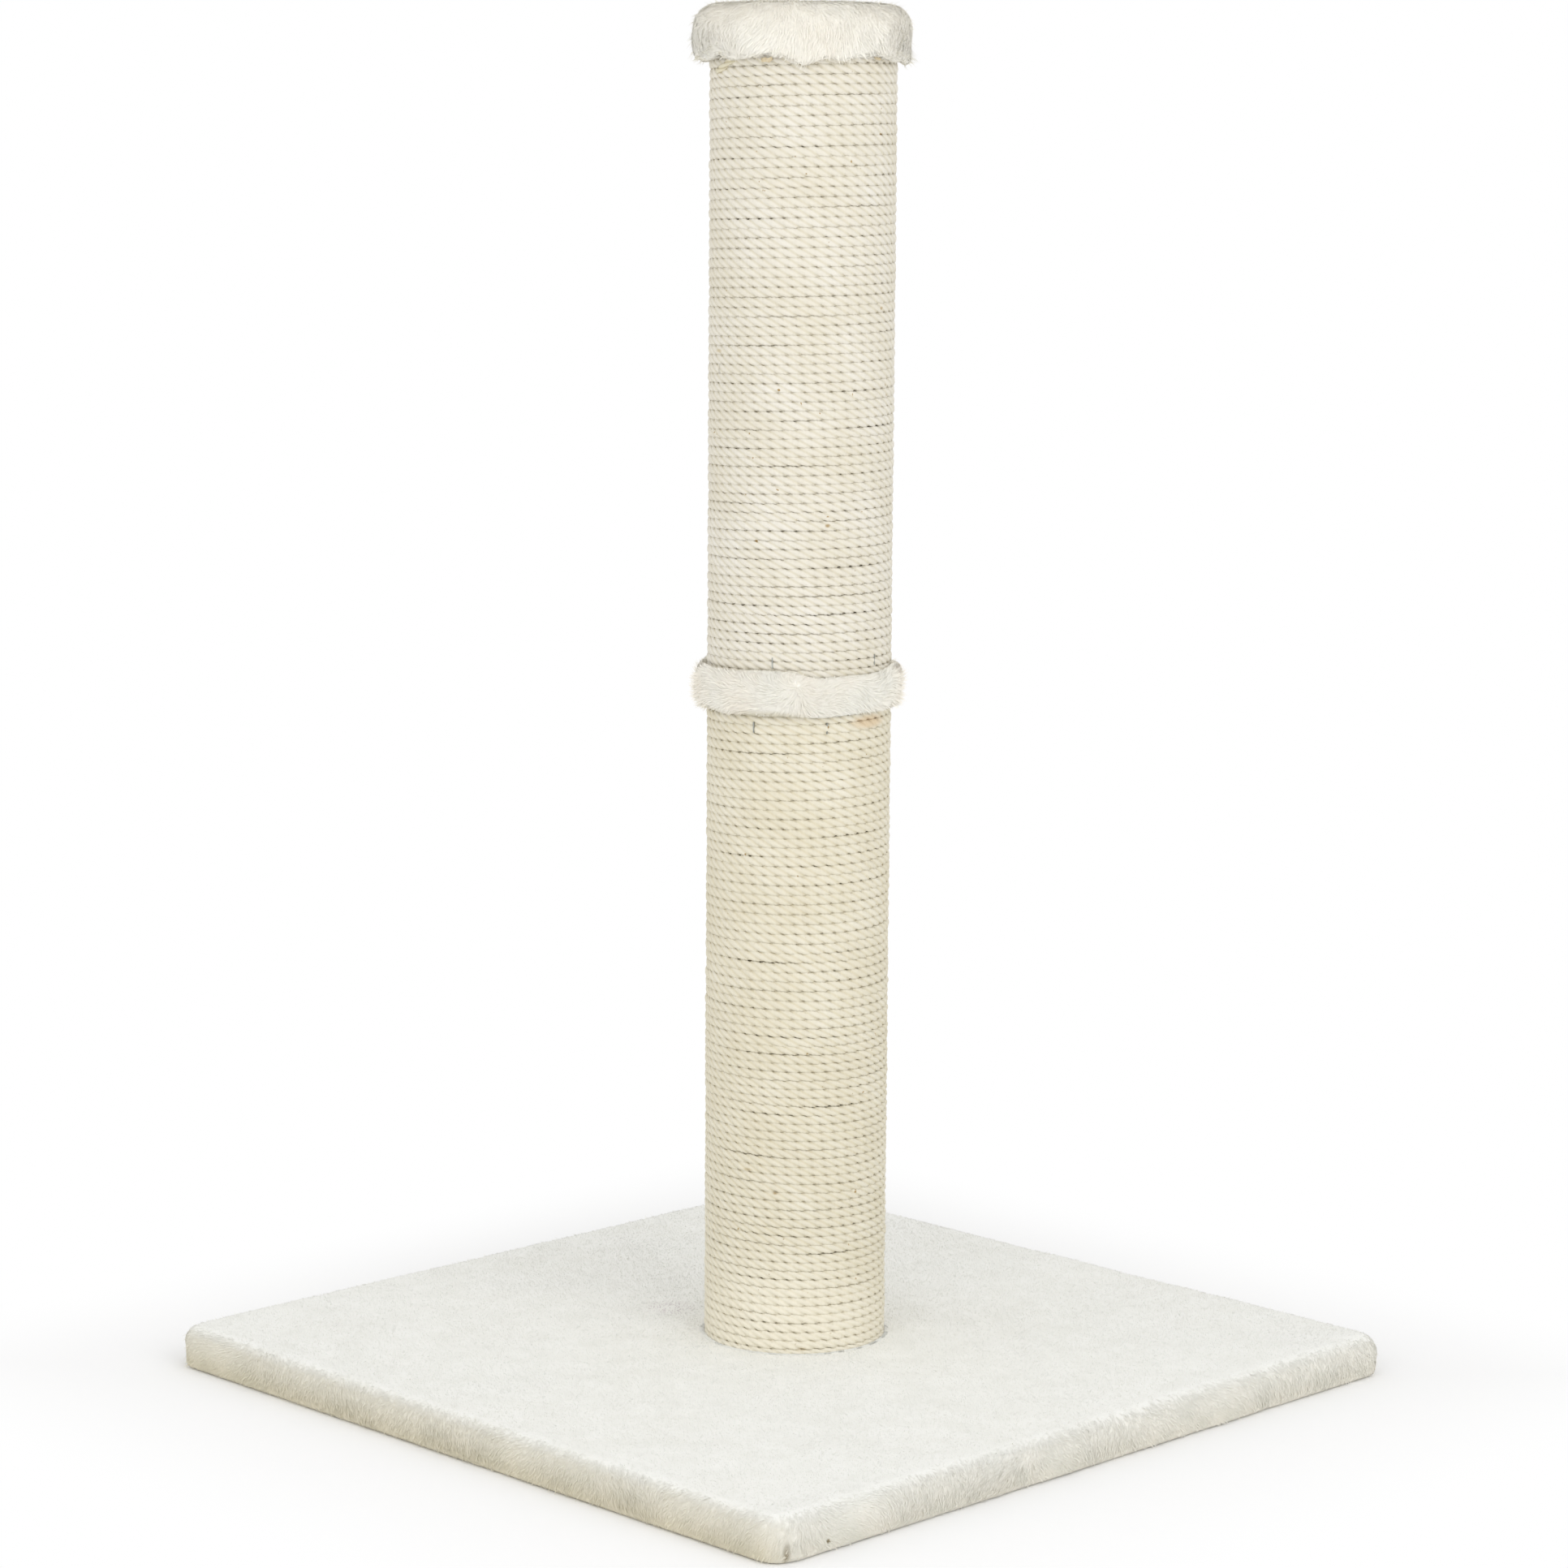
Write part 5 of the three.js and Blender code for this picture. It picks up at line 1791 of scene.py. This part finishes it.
        def thickness(points: np.ndarray, normals: np.ndarray) -> np.ndarray:
            """Keeps to the outside and the lip."""
            away = np.linalg.norm(points[:, :2] - self.axis[:2], axis=1)
            roof = (normals[:, 2] > 0.5) & (points[:, 2] > self.top - self.shoulder)
            return (roof | (away > self.outer - self.wall + 1.2 * MM)).astype(float)

        def reach(points: np.ndarray, _normals: np.ndarray) -> np.ndarray:
            """Lets the fur grow longer towards the lip."""
            return 0.6 + 0.5 * (1 - ease(points[:, 2], self.foot + 4 * MM, self.top - 12 * MM))

        def lowest(points: np.ndarray, _normals: np.ndarray) -> np.ndarray:
            """Gives the lip's wavy lower edge."""
            return self._edge(points) + 0.7 * MM * ripple(points, 4.5 * MM, 59)

        pile = Pile(
            "plush_cap_pile", count=65000, length=6.8 * MM, width=0.42 * MM, depth=0.9 * MM, stray=0.22,
            wild=0.06, lock=7.0 * MM, gather=0.34, seed=51, swirl=0.35, swirl_size=20 * MM, under=0.35,
        )
        fur = pile.grow(skin, comb, thickness, reach, lowest=lowest)
        wear(fur, Coat.FUR)
        return fur


@dataclass
class Patch:
    """A thin strip that shows at the edge of the plush and follows the round of the post.

    Angles are in degrees round the post, heights over the section's foot.
    """

    name: str
    start_deg: float
    end_deg: float
    low: float
    high: float
    lift: float
    seed: int
    node: str = "upper_rope"
    coat: Coat = Coat.BACKING
    thickness: float = 0.5 * MM

    def build(self) -> None:
        """Makes the strip from a grid and bends it round the post."""
        low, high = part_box(self.node)
        axis = (low + high) / 2
        radius = (high.x - low.x) / 2 + self.lift
        bpy.ops.object.select_all(action="DESELECT")
        bpy.ops.mesh.primitive_grid_add(x_subdivisions=36, y_subdivisions=10, size=2)
        strip = Bench.take(self.name)
        flat = Bench.points(strip)
        along, up = flat[:, 0], flat[:, 1]
        rng = np.random.default_rng(self.seed)
        ragged = sum(np.sin(along * k + rng.uniform(0, 6.3)) / k for k in (2.0, 3.7, 7.1, 11.3))
        half_turn = (self.end_deg - self.start_deg) / 2
        angle = np.radians((self.start_deg + self.end_deg) / 2 + along * half_turn)
        taper = np.sqrt(np.clip(1.02 - np.abs(along) ** 6, 0, 1))
        middle = (self.low + self.high) / 2
        height = low.z + middle + up * taper * (self.high - self.low) / 2
        height = height + 0.35 * MM * ragged * np.abs(up)
        shrunk = np.column_stack([flat[:, :2] * 20 * MM, height])
        bulge = radius + 0.18 * MM * ripple(shrunk, 9 * MM, self.seed)
        placed = np.column_stack([axis.x + bulge * np.cos(angle), axis.y + bulge * np.sin(angle), height])
        Bench.reshape(strip, placed)
        Bench.modify(strip, "SOLIDIFY", thickness=self.thickness, offset=-1.0)
        Bench.smooth(strip)
        wear(strip, self.coat)


@dataclass
class TuckedEnd:
    """The upper rope's last few centimetres, drawn up over the first turn and under the cap."""

    node: str = "upper_rope"
    radius: float = 2.3 * MM
    start_deg: float = -111.0
    end_deg: float = -90.0
    low: float = 343.0 * MM
    high: float = 350.0 * MM
    lift: float = -0.4 * MM
    squeeze: float = 0.95
    seed: int = 83

    def build(self) -> None:
        """Lays the short end of rope."""
        low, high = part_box(self.node)
        axis = (low + high) / 2
        share = np.linspace(0, 1, 16)
        angle = np.radians(self.start_deg + share * (self.end_deg - self.start_deg))
        coil = (high.x - low.x) / 2 + self.lift - 1.2 * MM * (1 - ease(share, 0, 0.25))
        climb = ease(share, 0, 1.2)
        heights = low.z + self.low + climb * (self.high - self.low) / climb[-1]
        path = round_post(axis, angle, coil, heights)
        travelled = share * math.radians(self.end_deg - self.start_deg) * (high.x - low.x) / 2
        rope = LaidRope("upper_rope_tucked_end", self.radius, self.seed)
        piece = rope.build(**path, travelled=travelled, squeeze=np.full(len(angle), self.squeeze))
        wear(piece, Coat.TUCKED_ROPE)


# ---------------------------------------------------------------- the frame's own pieces


class Frame:
    """The construction's own nodes, which stay as they are and get their finishes."""

    COATS = {
        "base_board": Coat.BOARD,
        "tube": Coat.CARD,
        "plug": Coat.PINE,
    }

    def build(self) -> None:
        """Dresses every node that is still shown."""
        for name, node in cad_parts.items():
            coat = next((c for part, c in self.COATS.items() if name.endswith(part)), Coat.ZINC)
            Bench.dress(node, WARDROBE.get(coat))
        LOG.info("frame: %d nodes dressed", len(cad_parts))


def main() -> None:
    """Builds the camera and studio, then the post from its base to its cap."""
    logging.basicConfig(level=logging.INFO, format="%(name)s: %(message)s")
    Viewpoint().build()
    Studio().build()
    Frame().build()
    BaseCover().build()
    lower = RopeWinding(
        "lower_rope",
        Coat.LOWER_ROPE,
        pitches=((0, 4.95), (175, 4.95), (215, 5.45), (260, 5.5), (300, 5.3), (375, 5.25)),
        tilts=((0, -0.4), (55, -1.2), (110, -2.0), (130, -2.0), (210, -0.9), (300, 0.2), (375, 0.4)),
        seed=61,
        sink=1.6 * MM,
    )
    upper = RopeWinding(
        "upper_rope",
        Coat.UPPER_ROPE,
        pitches=((0, 5.05), (150, 5.05), (200, 5.25), (300, 5.5), (375, 5.57)),
        tilts=((0, 0.4), (375, 0.5)),
        seed=71,
    )
    lower.build()
    upper.build()
    JointBand().build()
    PlushCap().build()
    TuckedEnd().build()
    Patch("cap_backing_1", -70, -63, 347.6 * MM, 349.8 * MM, lift=2.6 * MM, seed=5).build()
    Patch("cap_backing_2", -0.5, 5, 349.4 * MM, 351.6 * MM, lift=2.8 * MM, seed=6).build()


if __name__ == "__main__":
    main()
